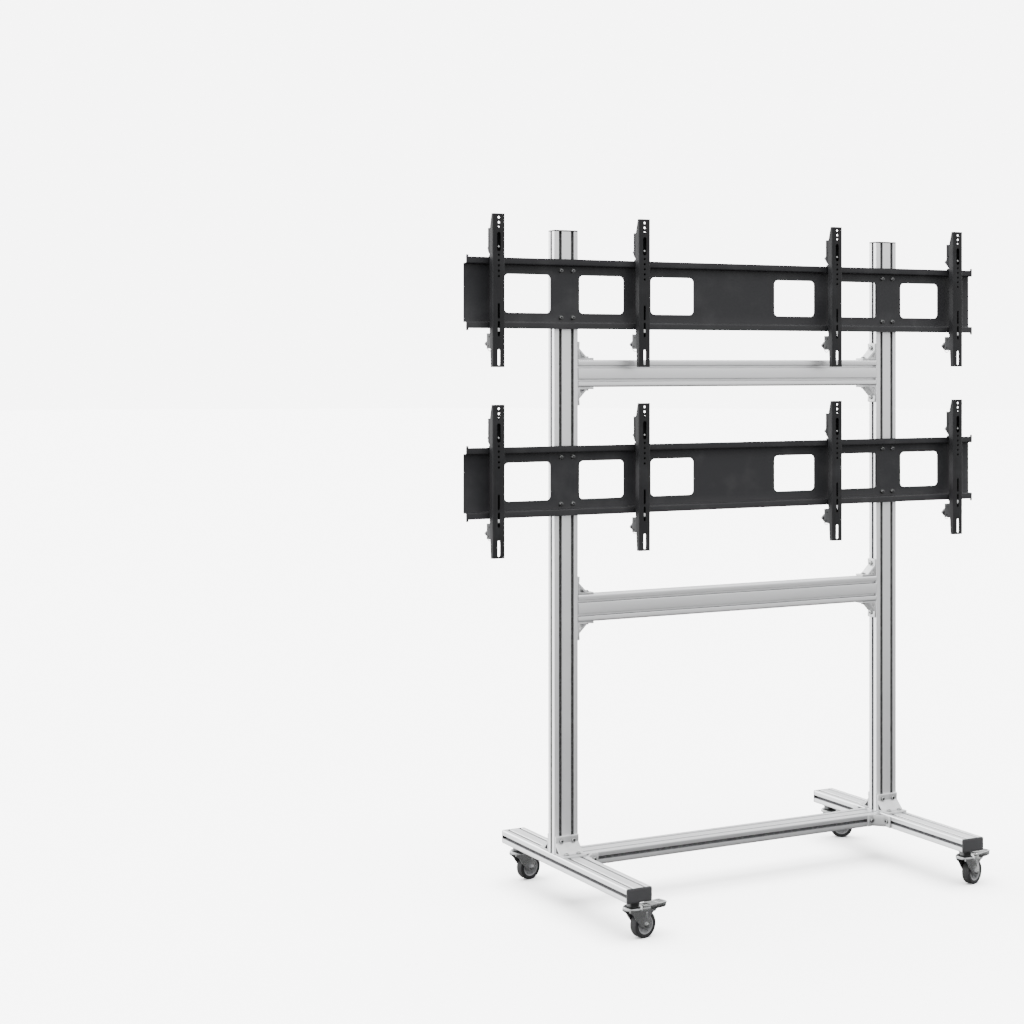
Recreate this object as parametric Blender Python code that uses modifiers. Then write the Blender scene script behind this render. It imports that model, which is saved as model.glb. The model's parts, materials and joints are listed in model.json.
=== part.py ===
"""Mobile video wall stand: slotted aluminium frame on four braked casters, two display rails, eight arms.

Metres, +Z up. The origin is on the floor, under the middle of the footprint. Displays hang on the -Y side.
"""
import math

import bmesh
import bpy
from mathutils import Matrix, Vector

# Clearances
SEAT = 0.0003              # gap that seated faces keep
WELD = 0.0002              # depth to which a bracket reaches into the bar that carries it
SINK = 0.0010              # depth to which one shape reaches into another before they are united

# Slotted extrusion, one or two modules wide
MODULE = 0.040
PROFILE_WIDE = 2 * MODULE
PROFILE_RADIUS = 0.0045
SLOT_MOUTH = 0.008
SLOT_LIP = 0.0042
SLOT_CHAMBER = 0.0200
SLOT_FLOOR = 0.0075
SLOT_DEPTH = 0.0125

# Frame
POST_SPACING = 1.172
POST_LENGTH = 1.813
POST_BACKSET = 0.058       # posts stand this far behind the middle of the feet
FOOT_LENGTH = 0.736
CASTER_HEIGHT = 0.111
CROSSBAR_UPPER_Z = 1.550
CROSSBAR_LOWER_Z = 0.862
CAP_THICKNESS = 0.004
CAP_EDGE = 0.0008

# Cast angle brackets
BRACKET_LEG = 0.053
BRACKET_WALL = 0.005
BRACKET_TIP_WALL = 0.0060
BRACKET_RIB_FOOT = 0.026   # where the sloping plate meets each leg, from the corner
BRACKET_BOLT = 0.0385      # bolt axis from the corner
BRACKET_MARGIN = 0.002     # bracket is narrower than its profile by this on each side

# Socket bolts
BOLT_HEAD_RADIUS = 0.0065
BOLT_HEAD_HEIGHT = 0.0055
SOCKET_RADIUS = 0.0030
SOCKET_DEPTH = 0.0030

# Display rails
RAIL_LENGTH = 1.842
RAIL_UPPER_Z = 1.781
RAIL_LOWER_Z = 1.2388
RAIL_HEIGHT = 0.203
RAIL_WEB = 0.169
RAIL_DEPTH = 0.0202
RAIL_SHEET = 0.0025
RAIL_BEND = 0.0040
WINDOW_WIDE = 0.1515
WINDOW_TALL = 0.111
WINDOW_RADIUS = 0.013
WINDOW_CENTRES = (0.2240, 0.4693, 0.7155)
STOP_WIDE = 0.007
STOP_RISE = 0.006
RAIL_BOLT_SPREAD = 0.1365
CHEEK_SHEET = 0.003
CHEEK_EAR_RADIUS = 0.0125
CHEEK_EAR_Z = 0.083
CHEEK_NECK = 0.0045

# Display arms
ARM_INSET = 0.087          # outer arms from the rail's ends
ARM_INNER = 0.351          # inner arms from the middle
ARM_LENGTH = 0.436
ARM_RISE = 0.224           # top of the arm above its rail's centre line
ARM_WIDE = 0.038
ARM_DEPTH = 0.022
ARM_SHEET = 0.0025
ARM_BEND = 0.0030
ARM_FRONT = 0.053          # arm face in front of the post's front
ARM_TIP_DEPTH = 0.009
ARM_TAPER_TOP = 0.045
ARM_TAPER_BOTTOM = 0.110
ARM_HOLE_RADIUS = 0.0035
ARM_TOP_HOLES = (0.0113, 0.0142, 3)       # first hole from the top, pitch, count
ARM_MIDDLE_HOLES = (0.1178, 0.0151, 5)
ARM_GUIDE_SLOT = (0.0532, 0.1075, 0.0120)  # start and end from the top, width
ARM_SLOTS = ((0.2548, 0.2987, 0.0070), (0.3052, 0.3488, 0.0070), (0.3850, 0.4308, 0.0080))

# Hook carriage that hangs on the rail and carries an arm; heights are from the rail's centre line
SPINE_WIDE = 0.026
SPINE_SHEET = 0.003
SPINE_OFFSET = 0.0165      # front of the spine behind the arm's face
SPINE_TOP = 0.204
JAW_WIDE = 0.0324
JAW_SHEET = 0.0025
JAW_FRONT = 0.0040
JAW_UPPER = (0.1050, 0.1840, 0.0400)       # bottom, top, and rear behind the arm's face
JAW_LOWER = (-0.1592, -0.1154, 0.0480)
JAW_CHAMFER = 0.016
JAW_HOLE_RADIUS = 0.0024
JAW_EYE = (0.010, 0.030)    # its side eyes from the upper jaw's rear and bottom
JAW_SLOT = (0.148, 0.178, 0.008)
HOOK_SHEET = 0.005
HOOK_SPREAD = 0.020
HOOK_DROP = 0.012
LATCH_RISE = 0.006
LATCH_WIDE = 0.012
PIN_INSET = 0.0006
KNOB_LOBES = 4
KNOB_WAVE = 0.12           # rise and fall of the lobes, as a part of the radius
KNOB_UPPER_Z = 0.128
KNOB_LOWER_Z = -0.1450
KNOB_UPPER_RADIUS = 0.0100
KNOB_LOWER_RADIUS = 0.0125
KNOB_UPPER_REACH = 0.015   # from the jaw's rear to the knob's end
KNOB_LOWER_REACH = 0.020
KNOB_THICK = 0.010
TRIM_SCREW_Z = 0.197
TRIM_SCREW_RADIUS = 0.0048

# Swivel casters
WHEEL_RADIUS = 0.0375
WHEEL_WIDE = 0.025
TYRE_SHOULDER = 0.006
HUB_RADIUS = 0.0275
HUB_RECESS = 0.0045
BOSS_RADIUS = 0.0100
AXLE_RADIUS = 0.0040
AXLE_CLEARANCE = 0.00015
CASTER_TRAIL = 0.037
CASTER_INSET = 0.036       # swivel axis from the foot's end
FORK_GAP = 0.0285
FORK_SHEET = 0.0025
FORK_CROWN_Z = 0.0860
FORK_HEAD_RADIUS = 0.0285
FORK_HEAD_DROP = 0.0080
FORK_EYE_RADIUS = 0.0125
FORK_WAIST = 0.0500        # rear edge of the legs behind the swivel axis
MOUNT_DISC_RADIUS = 0.0235
MOUNT_DISC_THICK = 0.0055
RACE_RADIUS = 0.0185
KINGPIN_RADIUS = 0.0060
AXLE_HEAD_RADIUS = 0.0065
AXLE_HEAD_HEIGHT = 0.0040
PEDAL_PIVOT = (0.0670, 0.0785)
PEDAL_PIN_RADIUS = 0.0022
PEDAL_BARREL_RADIUS = 0.0046
PEDAL_EAR_RADIUS = 0.0065
PEDAL_START = 0.031        # ends of the pedal's deck behind the swivel axis
PEDAL_REACH = 0.114
PEDAL_WIDE = 0.038
PEDAL_CORNER = 0.007
PEDAL_SHEET = 0.0022
PEDAL_RISE = 0.0130
PEDAL_TOE = 0.0030
CASTER_TURN = {            # which way each caster trails at rest, in degrees from +X
    "front_left": 10.5, "front_right": 17.0, "rear_left": 11.0, "rear_right": -30.0}

# Facets
ROUND = 16
BOLT_SIDES = 8
FINE = 6

# Worked out from the sizes above
ARM_OUTER = RAIL_LENGTH / 2 - ARM_INSET
ARM_POSITIONS = (-ARM_OUTER, -ARM_INNER, ARM_INNER, ARM_OUTER)
POST_X = POST_SPACING / 2
POST_Y = POST_BACKSET
POST_FRONT = POST_Y - MODULE / 2
FOOT_TOP = CASTER_HEIGHT + MODULE
POST_TOP = FOOT_TOP + SEAT + POST_LENGTH
ARM_FACE_Y = POST_FRONT - ARM_FRONT
SIDES = (("left", -1), ("right", 1))
ENDS = (("front", -1), ("rear", 1))


def clear_scene():
    for old in list(bpy.data.objects):
        bpy.data.objects.remove(old, do_unlink=True)


def new_collection(name, hidden=False):
    group = bpy.data.collections.new(name)
    bpy.context.scene.collection.children.link(group)
    group.hide_render = hidden
    return group


def make_material(name, colour, metallic, roughness):
    material = bpy.data.materials.new(name)
    material.use_nodes = True
    shader = material.node_tree.nodes["Principled BSDF"]
    shader.inputs["Base Color"].default_value = (*colour, 1.0)
    shader.inputs["Metallic"].default_value = metallic
    shader.inputs["Roughness"].default_value = roughness
    material.diffuse_color = (*colour, 1.0)
    return material


clear_scene()
PARTS = new_collection("mobile_video_wall_stand")
CUTTERS = new_collection("cutters", hidden=True)
FINISHES = {
    "anodised": ((0.80, 0.81, 0.82), 0.95, 0.32),
    "plastic_black": ((0.045, 0.045, 0.048), 0.0, 0.45),
    "cast_zinc": ((0.62, 0.63, 0.64), 0.85, 0.42),
    "powder_black": ((0.022, 0.022, 0.024), 0.0, 0.50),
    "chrome": ((0.70, 0.71, 0.72), 1.0, 0.18),
    "tyre_grey": ((0.10, 0.10, 0.11), 0.0, 0.60),
}


def arc(centre, radius, start, end, steps):
    """Points on an arc of a 2D outline, angles in degrees."""
    turns = [math.radians(start + (end - start) * i / steps) for i in range(steps + 1)]
    return [(centre[0] + radius * math.cos(t), centre[1] + radius * math.sin(t)) for t in turns]


def rounded_box(centre, wide, tall, radius, steps=2):
    """Closed outline of a rectangle with round corners."""
    x, y = wide / 2 - radius, tall / 2 - radius
    corners = ((x, y, 0), (-x, y, 90), (-x, -y, 180), (x, -y, 270))
    points = []
    for cx, cy, turn in corners:
        points += arc((centre[0] + cx, centre[1] + cy), radius, turn, turn + 90, steps)
    return points


def circle(centre, radius, steps):
    return arc(centre, radius, 0, 360 * (steps - 1) / steps, steps - 1)


def upright_slot(centre_x, top, bottom, wide, steps=2):
    """Outline of a slot with round ends that runs along the outline's second axis."""
    r = wide / 2
    return (arc((centre_x, top - r), r, 0, 180, steps)
            + arc((centre_x, bottom + r), r, 180, 360, steps))


def add_object(name, mesh, group):
    item = bpy.data.objects.new(name, mesh)
    group.objects.link(item)
    return item


def plate(loops, depth, place=Matrix.Identity(4), start=None):
    """Mesh of a flat outline with holes, thick along its own Z; start is its lower face, or centred."""
    curve = bpy.data.curves.new("outline", "CURVE")
    curve.dimensions = "2D"
    curve.fill_mode = "BOTH"
    curve.extrude = depth / 2
    for loop in loops:
        spline = curve.splines.new("POLY")
        spline.points.add(len(loop) - 1)
        for point, (x, y) in zip(spline.points, loop):
            point.co = (x, y, 0.0, 1.0)
        spline.use_cyclic_u = True
    guide = add_object("outline", curve, CUTTERS)
    bpy.context.view_layer.update()
    evaluated = guide.evaluated_get(bpy.context.evaluated_depsgraph_get())
    mesh = bpy.data.meshes.new_from_object(evaluated)
    bpy.data.objects.remove(guide, do_unlink=True)
    lift = Matrix.Translation((0, 0, depth / 2 + start)) if start is not None else Matrix.Identity(4)
    return tidy_mesh(mesh, place @ lift)


def tidy_mesh(mesh, place):
    """Weld a mesh, move it and turn its faces out."""
    bm = bmesh.new()
    bm.from_mesh(mesh)
    bmesh.ops.remove_doubles(bm, verts=bm.verts, dist=1e-6)
    bmesh.ops.transform(bm, matrix=place, verts=bm.verts)
    bmesh.ops.recalc_face_normals(bm, faces=bm.faces)
    bm.to_mesh(mesh)
    bm.free()
    return mesh


def block(low, high):
    """Mesh of a box between two corners."""
    mesh = bpy.data.meshes.new("block")
    bm = bmesh.new()
    bmesh.ops.create_cube(bm, size=1.0)
    size = Vector(high) - Vector(low)
    centre = (Vector(high) + Vector(low)) / 2
    bmesh.ops.transform(bm, matrix=Matrix.Translation(centre) @ Matrix.Diagonal((*size, 1)), verts=bm.verts)
    bm.to_mesh(mesh)
    bm.free()
    return mesh


def rod(start, end, radius, steps, end_radius=None):
    """Mesh of a cylinder or cone frustum between two points."""
    mesh = bpy.data.meshes.new("rod")
    start, end = Vector(start), Vector(end)
    along = end - start
    bm = bmesh.new()
    bmesh.ops.create_cone(bm, cap_ends=True, segments=steps, radius1=radius,
                          radius2=radius if end_radius is None else end_radius, depth=along.length)
    turn = along.to_track_quat("Z", "Y").to_matrix().to_4x4()
    bmesh.ops.transform(bm, matrix=Matrix.Translation((start + end) / 2) @ turn, verts=bm.verts)
    bm.to_mesh(mesh)
    bm.free()
    return mesh


def turned(profile, steps, place=Matrix.Identity(4)):
    """Mesh of a profile of (radius, height) points turned about Z, from top to bottom on the outside."""
    curve_mesh = bpy.data.meshes.new("profile")
    points = [(r, 0.0, z) for r, z in profile]
    closed = all(r > 0 for r, _ in profile)
    edges = [(i, i + 1) for i in range(len(points) - 1)] + ([(len(points) - 1, 0)] if closed else [])
    curve_mesh.from_pydata(points, edges, [])
    guide = add_object("profile", curve_mesh, CUTTERS)
    screw = guide.modifiers.new("turn", "SCREW")
    screw.steps = screw.render_steps = steps
    screw.use_merge_vertices = True
    screw.merge_threshold = 1e-5
    bpy.context.view_layer.update()
    evaluated = guide.evaluated_get(bpy.context.evaluated_depsgraph_get())
    mesh = bpy.data.meshes.new_from_object(evaluated)
    bpy.data.objects.remove(guide, do_unlink=True)
    return tidy_mesh(mesh, place)


def joined(meshes):
    """One mesh that holds several separate shapes."""
    bm = bmesh.new()
    for mesh in meshes:
        bm.from_mesh(mesh)
    out = bpy.data.meshes.new("joined")
    bm.to_mesh(out)
    bm.free()
    return out


def combine(base, unions=(), cuts=()):
    """Unite shapes with a base, then cut others out of it. Each group holds shapes clear of each other."""
    body = add_object("body", base, CUTTERS)
    for kind, groups in (("UNION", unions), ("DIFFERENCE", cuts)):
        for group in groups:
            tool = add_object("tool", joined(group), CUTTERS)
            step = body.modifiers.new("step", "BOOLEAN")
            step.operation = kind
            step.object = tool
    bpy.context.view_layer.update()
    evaluated = body.evaluated_get(bpy.context.evaluated_depsgraph_get())
    mesh = bpy.data.meshes.new_from_object(evaluated)
    for item in [step.object for step in body.modifiers] + [body]:
        bpy.data.objects.remove(item, do_unlink=True)
    return merge_flat(tidy_mesh(mesh, Matrix.Identity(4)))


def merge_flat(mesh):
    """Join faces that lie in one plane, so that a united shape keeps only the corners that it needs."""
    bm = bmesh.new()
    bm.from_mesh(mesh)
    bmesh.ops.dissolve_limit(bm, angle_limit=math.radians(0.2), verts=bm.verts, edges=bm.edges)
    bm.to_mesh(mesh)
    bm.free()
    return mesh


def bevelled(mesh, width, angle=60, steps=1):
    """Round the sharp edges of a mesh."""
    body = add_object("body", mesh, CUTTERS)
    step = body.modifiers.new("edges", "BEVEL")
    step.width = width
    step.segments = steps
    step.limit_method = "ANGLE"
    step.angle_limit = math.radians(angle)
    bpy.context.view_layer.update()
    evaluated = body.evaluated_get(bpy.context.evaluated_depsgraph_get())
    out = bpy.data.meshes.new_from_object(evaluated)
    bpy.data.objects.remove(body, do_unlink=True)
    return out


def moved(mesh, place):
    copy = mesh.copy()
    copy.transform(place)
    if place.determinant() < 0:
        copy.flip_normals()
    return copy


def place_part(name, mesh, finish, at=(0, 0, 0), turn=0.0, parent=None):
    """Put a named piece in the model, with its origin at a point and turned about Z, in degrees."""
    mesh = mesh.copy()
    mesh.name = name
    mesh.materials.clear()
    mesh.materials.append(make_material(name + "_finish", *FINISHES[finish]))
    mesh.shade_smooth()
    mesh.set_sharp_from_angle(angle=math.radians(30))
    item = add_object(name, mesh, PARTS)
    item.location = at
    item.rotation_euler = (0, 0, math.radians(turn))
    item.parent = parent
    return item


def slot_notch(centre, mouth_axis):
    """Outline points of one T-slot, walked from one lip to the other around the chamber."""
    m, c, f = SLOT_MOUTH / 2, SLOT_CHAMBER / 2, SLOT_FLOOR / 2
    steps = ((-m, 0), (-m, SLOT_LIP), (-c, SLOT_LIP), (-f, SLOT_DEPTH),
             (f, SLOT_DEPTH), (c, SLOT_LIP), (m, SLOT_LIP), (m, 0))
    along = Vector((-mouth_axis[1], mouth_axis[0]))
    inward = -Vector(mouth_axis)
    return [tuple(Vector(centre) + along * a + inward * d) for a, d in steps]


def profile_outline(wide, tall):
    """Section of a slotted extrusion, with a slot in the middle of each module of each side."""
    r = PROFILE_RADIUS
    points = []
    for axis, half, span in (((1, 0), wide / 2, tall), ((0, 1), tall / 2, wide),
                             ((-1, 0), wide / 2, tall), ((0, -1), tall / 2, wide)):
        along = Vector((-axis[1], axis[0]))
        middle = Vector(axis) * half
        count = round(span / MODULE)
        for i in range(count):
            offset = (i + 0.5) * MODULE - span / 2
            points += slot_notch(middle + along * offset, axis)
        corner = middle + along * (span / 2 - r) - Vector(axis) * r
        start = math.degrees(math.atan2(axis[1], axis[0]))
        points += arc(corner, r, start, start + 90, 2)
    return points


def extrusion(length, wide, tall):
    """Slotted bar along its own Z, starting at its end face, wide along X and tall along Y."""
    return plate([profile_outline(wide, tall)], length, start=0.0)


TO_X = Matrix.Rotation(math.radians(90), 4, "Y")        # turns a bar's length from Z to X
TO_Y = Matrix.Rotation(math.radians(-90), 4, "X")       # turns a bar's length from Z to Y
FACE_FRONT = Matrix.Rotation(math.radians(90), 4, "X")  # stands an outline up: x to X, y to Z, thick to -Y
FACE_SIDE = Matrix(((0, 0, 1, 0), (1, 0, 0, 0), (0, 1, 0, 0), (0, 0, 0, 1)))  # x to Y, y to Z, thick to X


def bolt_head(at, out):
    """Head of a socket bolt that stands on a face at a point."""
    at, out = Vector(at), Vector(out)
    top_radius = BOLT_HEAD_RADIUS * 0.9
    return rod(at - out * SINK, at + out * BOLT_HEAD_HEIGHT, BOLT_HEAD_RADIUS, BOLT_SIDES, top_radius)


def bolt_socket(at, out):
    """Hexagon socket to cut from the head of the bolt at the same point."""
    top = Vector(at) + Vector(out) * BOLT_HEAD_HEIGHT
    return rod(top - Vector(out) * SOCKET_DEPTH, top + Vector(out) * SINK, SOCKET_RADIUS, 6)


def angle_bracket(wide, bolt_offsets, sockets=False):
    """Cast angle along +X and +Y with a sloping plate over its corner, wide about Z, with its bolts."""
    leg, wall, tip, rib = BRACKET_LEG, BRACKET_WALL, BRACKET_TIP_WALL, BRACKET_RIB_FOOT
    slope = wall * math.sqrt(2)
    outer = [(0, 0), (leg, 0), (leg, tip - 0.002), (leg - 0.002, tip), (rib + slope, wall),
             (wall, rib + slope), (tip, leg - 0.002), (tip - 0.002, leg), (0, leg)]
    hollow = [(wall, wall), (rib, wall), (wall, rib)]
    spots = [spot for offset in bolt_offsets for spot in (
        ((BRACKET_BOLT, wall, offset), (0, 1, 0)), ((wall, BRACKET_BOLT, offset), (1, 0, 0)))]
    return combine(plate([outer, hollow], wide), unions=[[bolt_head(*spot) for spot in spots]],
                   cuts=[[bolt_socket(*spot) for spot in spots]] if sockets else [])


def frame_from(corner, leg_a, leg_b):
    """Placement that sends an angle bracket's +X and +Y legs along two directions from a corner."""
    a, b = Vector(leg_a), Vector(leg_b)
    turn = Matrix((a, b, a.cross(b))).transposed().to_4x4()
    return Matrix.Translation(corner) @ turn


def end_cap():
    """Moulded cap for a profile's end, along +Z from the end face."""
    return bevelled(plate([rounded_box((0, 0), PROFILE_WIDE, MODULE, PROFILE_RADIUS)], CAP_THICKNESS,
                          start=SEAT), CAP_EDGE)


def build_frame():
    post = extrusion(POST_LENGTH, PROFILE_WIDE, MODULE)
    bar = moved(extrusion(POST_SPACING - PROFILE_WIDE - 2 * SEAT, PROFILE_WIDE, MODULE), TO_X)
    foot = moved(extrusion(FOOT_LENGTH, PROFILE_WIDE, MODULE), TO_Y)
    base = moved(extrusion(POST_SPACING - PROFILE_WIDE - 2 * SEAT, MODULE, PROFILE_WIDE), TO_X)
    post_cap = end_cap()
    bar_start = -POST_X + MODULE + SEAT
    for side, sign in SIDES:
        x = sign * POST_X
        place_part(f"post_{side}", post, "anodised", (x, POST_Y, FOOT_TOP + SEAT))
        place_part(f"post_cap_{side}", post_cap, "plastic_black", (x, POST_Y, POST_TOP))
        place_part(f"foot_{side}", foot, "anodised", (x, -FOOT_LENGTH / 2, CASTER_HEIGHT + MODULE / 2))
        for end, way in ENDS:
            cap = moved(post_cap, TO_Y if way > 0 else FACE_FRONT)
            place_part(f"foot_cap_{end}_{side}", cap, "plastic_black",
                       (x, way * FOOT_LENGTH / 2, CASTER_HEIGHT + MODULE / 2))
    for name, z in (("upper", CROSSBAR_UPPER_Z), ("lower", CROSSBAR_LOWER_Z)):
        place_part(f"crossbar_{name}", bar, "anodised", (bar_start, POST_Y, z))
    return base, bar_start


def build_base_crossbar(base, bar_start):
    """Bar between the feet, with the four small brackets that are bolted to its ends."""
    small = angle_bracket(MODULE - 2 * BRACKET_MARGIN, (0,))
    brackets = []
    for sign in (-1, 1):
        for way in (-1, 1):
            corner = (sign * (POST_X - MODULE - 2 * SEAT), way * (MODULE - WELD), 0)
            brackets.append(moved(small, frame_from(corner, (-sign, 0, 0), (0, way, 0))))
    bar = moved(base, Matrix.Translation((bar_start, 0, 0)))
    place_part("base_crossbar", combine(bar, unions=[brackets]), "anodised",
               (0, POST_Y, CASTER_HEIGHT + MODULE / 2))


def build_brackets():
    wide = angle_bracket(PROFILE_WIDE - 2 * BRACKET_MARGIN, (-MODULE / 2, MODULE / 2), sockets=True)
    narrow = angle_bracket(MODULE - 2 * BRACKET_MARGIN, (0,))
    for side, sign in SIDES:
        for end, way in ENDS:
            corner = (sign * POST_X, POST_Y + way * (MODULE / 2 + SEAT), FOOT_TOP + SEAT)
            mesh = moved(wide, frame_from((0, 0, 0), (0, 0, 1), (0, way, 0)))
            place_part(f"foot_bracket_{end}_{side}", mesh, "cast_zinc", corner)
        for name, z in (("upper", CROSSBAR_UPPER_Z), ("lower", CROSSBAR_LOWER_Z)):
            for spot, up in (("top", 1), ("under", -1)):
                corner = (sign * (POST_X - MODULE - SEAT), POST_Y, z + up * (MODULE + SEAT))
                mesh = moved(narrow, frame_from((0, 0, 0), (-sign, 0, 0), (0, 0, up)))
                place_part(f"crossbar_bracket_{name}_{spot}_{side}", mesh, "cast_zinc", corner)


def hat_section():
    """Section of a rail in (Y, Z): flat web at the back, lips out at the front."""
    t, r = RAIL_SHEET, RAIL_BEND
    back, front = 0.0, -RAIL_DEPTH
    web, lip = RAIL_WEB / 2, RAIL_HEIGHT / 2
    upper = arc((back - r, web - r), r, 0, 90, 2)
    upper += arc((front + r, web + r - t), r - t, 270, 180, 1)
    upper += [(front + t, lip), (front, lip)]
    upper += arc((front + r, web + r - t), r, 180, 270, 2)
    upper += arc((back - r, web - r), r - t, 90, 0, 1)
    lower = [(y, -z) for y, z in reversed(upper)]
    return upper + lower


def cheek_outline():
    """Side cheek of a rail in (Y, Z): two round ears with a hollow between them."""
    ear, z, neck = CHEEK_EAR_RADIUS, CHEEK_EAR_Z, CHEEK_NECK
    reach = MODULE / 2 + SEAT
    front = -RAIL_SHEET / 2
    upper = [(front, z + ear)] + arc((reach, z), ear, 90, -60, 4)
    waist = [(neck, z - ear * 2.8)]
    lower = [(y, -h) for y, h in reversed(upper[1:] + waist)]
    return upper + waist + lower + [(front, -z - ear)]


def rail_stops():
    """Tabs at the ends of both lips that keep the hooks from running off."""
    x = RAIL_LENGTH / 2 - STOP_WIDE / 2
    stops = []
    for centre in (-x, x):
        for up in (-1, 1):
            low, high = sorted((up * (RAIL_HEIGHT / 2 - 4 * SINK), up * (RAIL_HEIGHT / 2 + STOP_RISE)))
            stops.append(block((centre - STOP_WIDE / 2, -RAIL_DEPTH, low),
                               (centre + STOP_WIDE / 2, RAIL_SHEET - RAIL_DEPTH, high)))
    return stops


def build_rails():
    base = moved(plate([hat_section()], RAIL_LENGTH), FACE_SIDE)
    cheeks, spots, side_spots = [], [], []
    for _, sign in SIDES:
        for face in (-1, 1):
            x = sign * POST_X + face * (MODULE + SEAT)
            cheeks.append(moved(plate([cheek_outline()], CHEEK_SHEET),
                                Matrix.Translation((x + face * CHEEK_SHEET / 2, 0, 0)) @ FACE_SIDE))
            for up in (-1, 1):
                spots.append(((sign * POST_X + face * MODULE / 2, -RAIL_SHEET, up * RAIL_BOLT_SPREAD / 2),
                              (0, -1, 0)))
                ear = (x + face * CHEEK_SHEET, MODULE / 2 + SEAT, up * CHEEK_EAR_Z)
                side_spots.append((ear, (face, 0, 0)))
    windows = [rounded_box((side * x, 0), WINDOW_WIDE, WINDOW_TALL, WINDOW_RADIUS)
               for x in WINDOW_CENTRES for side in (-1, 1)]
    cutter = moved(plate(windows, 4 * RAIL_DEPTH), FACE_FRONT)
    mesh = combine(base, unions=[rail_stops() + cheeks + [bolt_head(*spot) for spot in spots],
                                 [bolt_head(*spot) for spot in side_spots]],
                   cuts=[[cutter] + [bolt_socket(*spot) for spot in spots]])
    for name, z in (("upper", RAIL_UPPER_Z), ("lower", RAIL_LOWER_Z)):
        place_part(f"rail_{name}", mesh, "powder_black", (0, POST_FRONT - SEAT, z))


def arm_mesh():
    """Display arm: a channel open to the back, its top at Z 0 and its face at Y 0."""
    w, d, t, r = ARM_WIDE / 2, ARM_DEPTH, ARM_SHEET, ARM_BEND
    section = [(w, d), *arc((w - r, r), r, 0, -90, 2), *arc((r - w, r), r, 270, 180, 2), (-w, d),
               (t - w, d), (t - w, t), (w - t, t), (w - t, d)]
    channel = plate([section], ARM_LENGTH, start=-ARM_LENGTH)
    holes = []
    for first, pitch, count in (ARM_TOP_HOLES, ARM_MIDDLE_HOLES):
        holes += [circle((0, -first - i * pitch), ARM_HOLE_RADIUS, FINE) for i in range(count)]
    holes += [upright_slot(0, -start, -end, wide) for start, end, wide in (ARM_GUIDE_SLOT, *ARM_SLOTS)]
    drill = moved(plate(holes, 4 * t), FACE_FRONT)
    far = 2 * SINK
    tip = [(ARM_TIP_DEPTH, far), (d + far, far), (d + far, -ARM_TAPER_TOP), (d, -ARM_TAPER_TOP)]
    toe = [(ARM_TIP_DEPTH, -ARM_LENGTH - far), (d, -ARM_LENGTH + ARM_TAPER_BOTTOM),
           (d + far, -ARM_LENGTH + ARM_TAPER_BOTTOM), (d + far, -ARM_LENGTH - far)]
    tapers = moved(plate([tip, toe], ARM_WIDE + 4 * far), FACE_SIDE)
    return combine(channel, cuts=[[drill], [tapers]])


def hand_knob(radius, reach, rear, z):
    """Neck and lobed knob that stand out of the back of a jaw."""
    turns = [math.pi * i / KNOB_LOBES for i in range(2 * KNOB_LOBES)]
    radii = [radius * (1 - KNOB_WAVE + KNOB_WAVE * (-1) ** i) for i in range(2 * KNOB_LOBES)]
    lobes = plate([[(r * math.cos(t), r * math.sin(t)) for r, t in zip(radii, turns)]], KNOB_THICK, start=0.0)
    front = rear + reach - KNOB_THICK
    neck = rod((0, rear - SINK, z), (0, front + SINK, z), radius * 0.5, FINE)
    return neck, moved(lobes, Matrix.Translation((0, front, z)) @ TO_Y)


def jaw(low, high, rear):
    """Upright box section of a jaw: open at the front, crossed by the spine, closed at the back."""
    out, inner = JAW_WIDE / 2, JAW_WIDE / 2 - JAW_SHEET
    front, web, back = JAW_FRONT, SPINE_OFFSET, rear - JAW_SHEET
    section = [(-out, front), (-inner, front), (-inner, web), (inner, web), (inner, front), (out, front),
               (out, rear), (-out, rear)]
    chamber = [(-inner, web + SPINE_SHEET), (inner, web + SPINE_SHEET), (inner, back), (-inner, back)]
    return moved(plate([section, chamber], high - low, start=0.0), Matrix.Translation((0, 0, low)))


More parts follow.
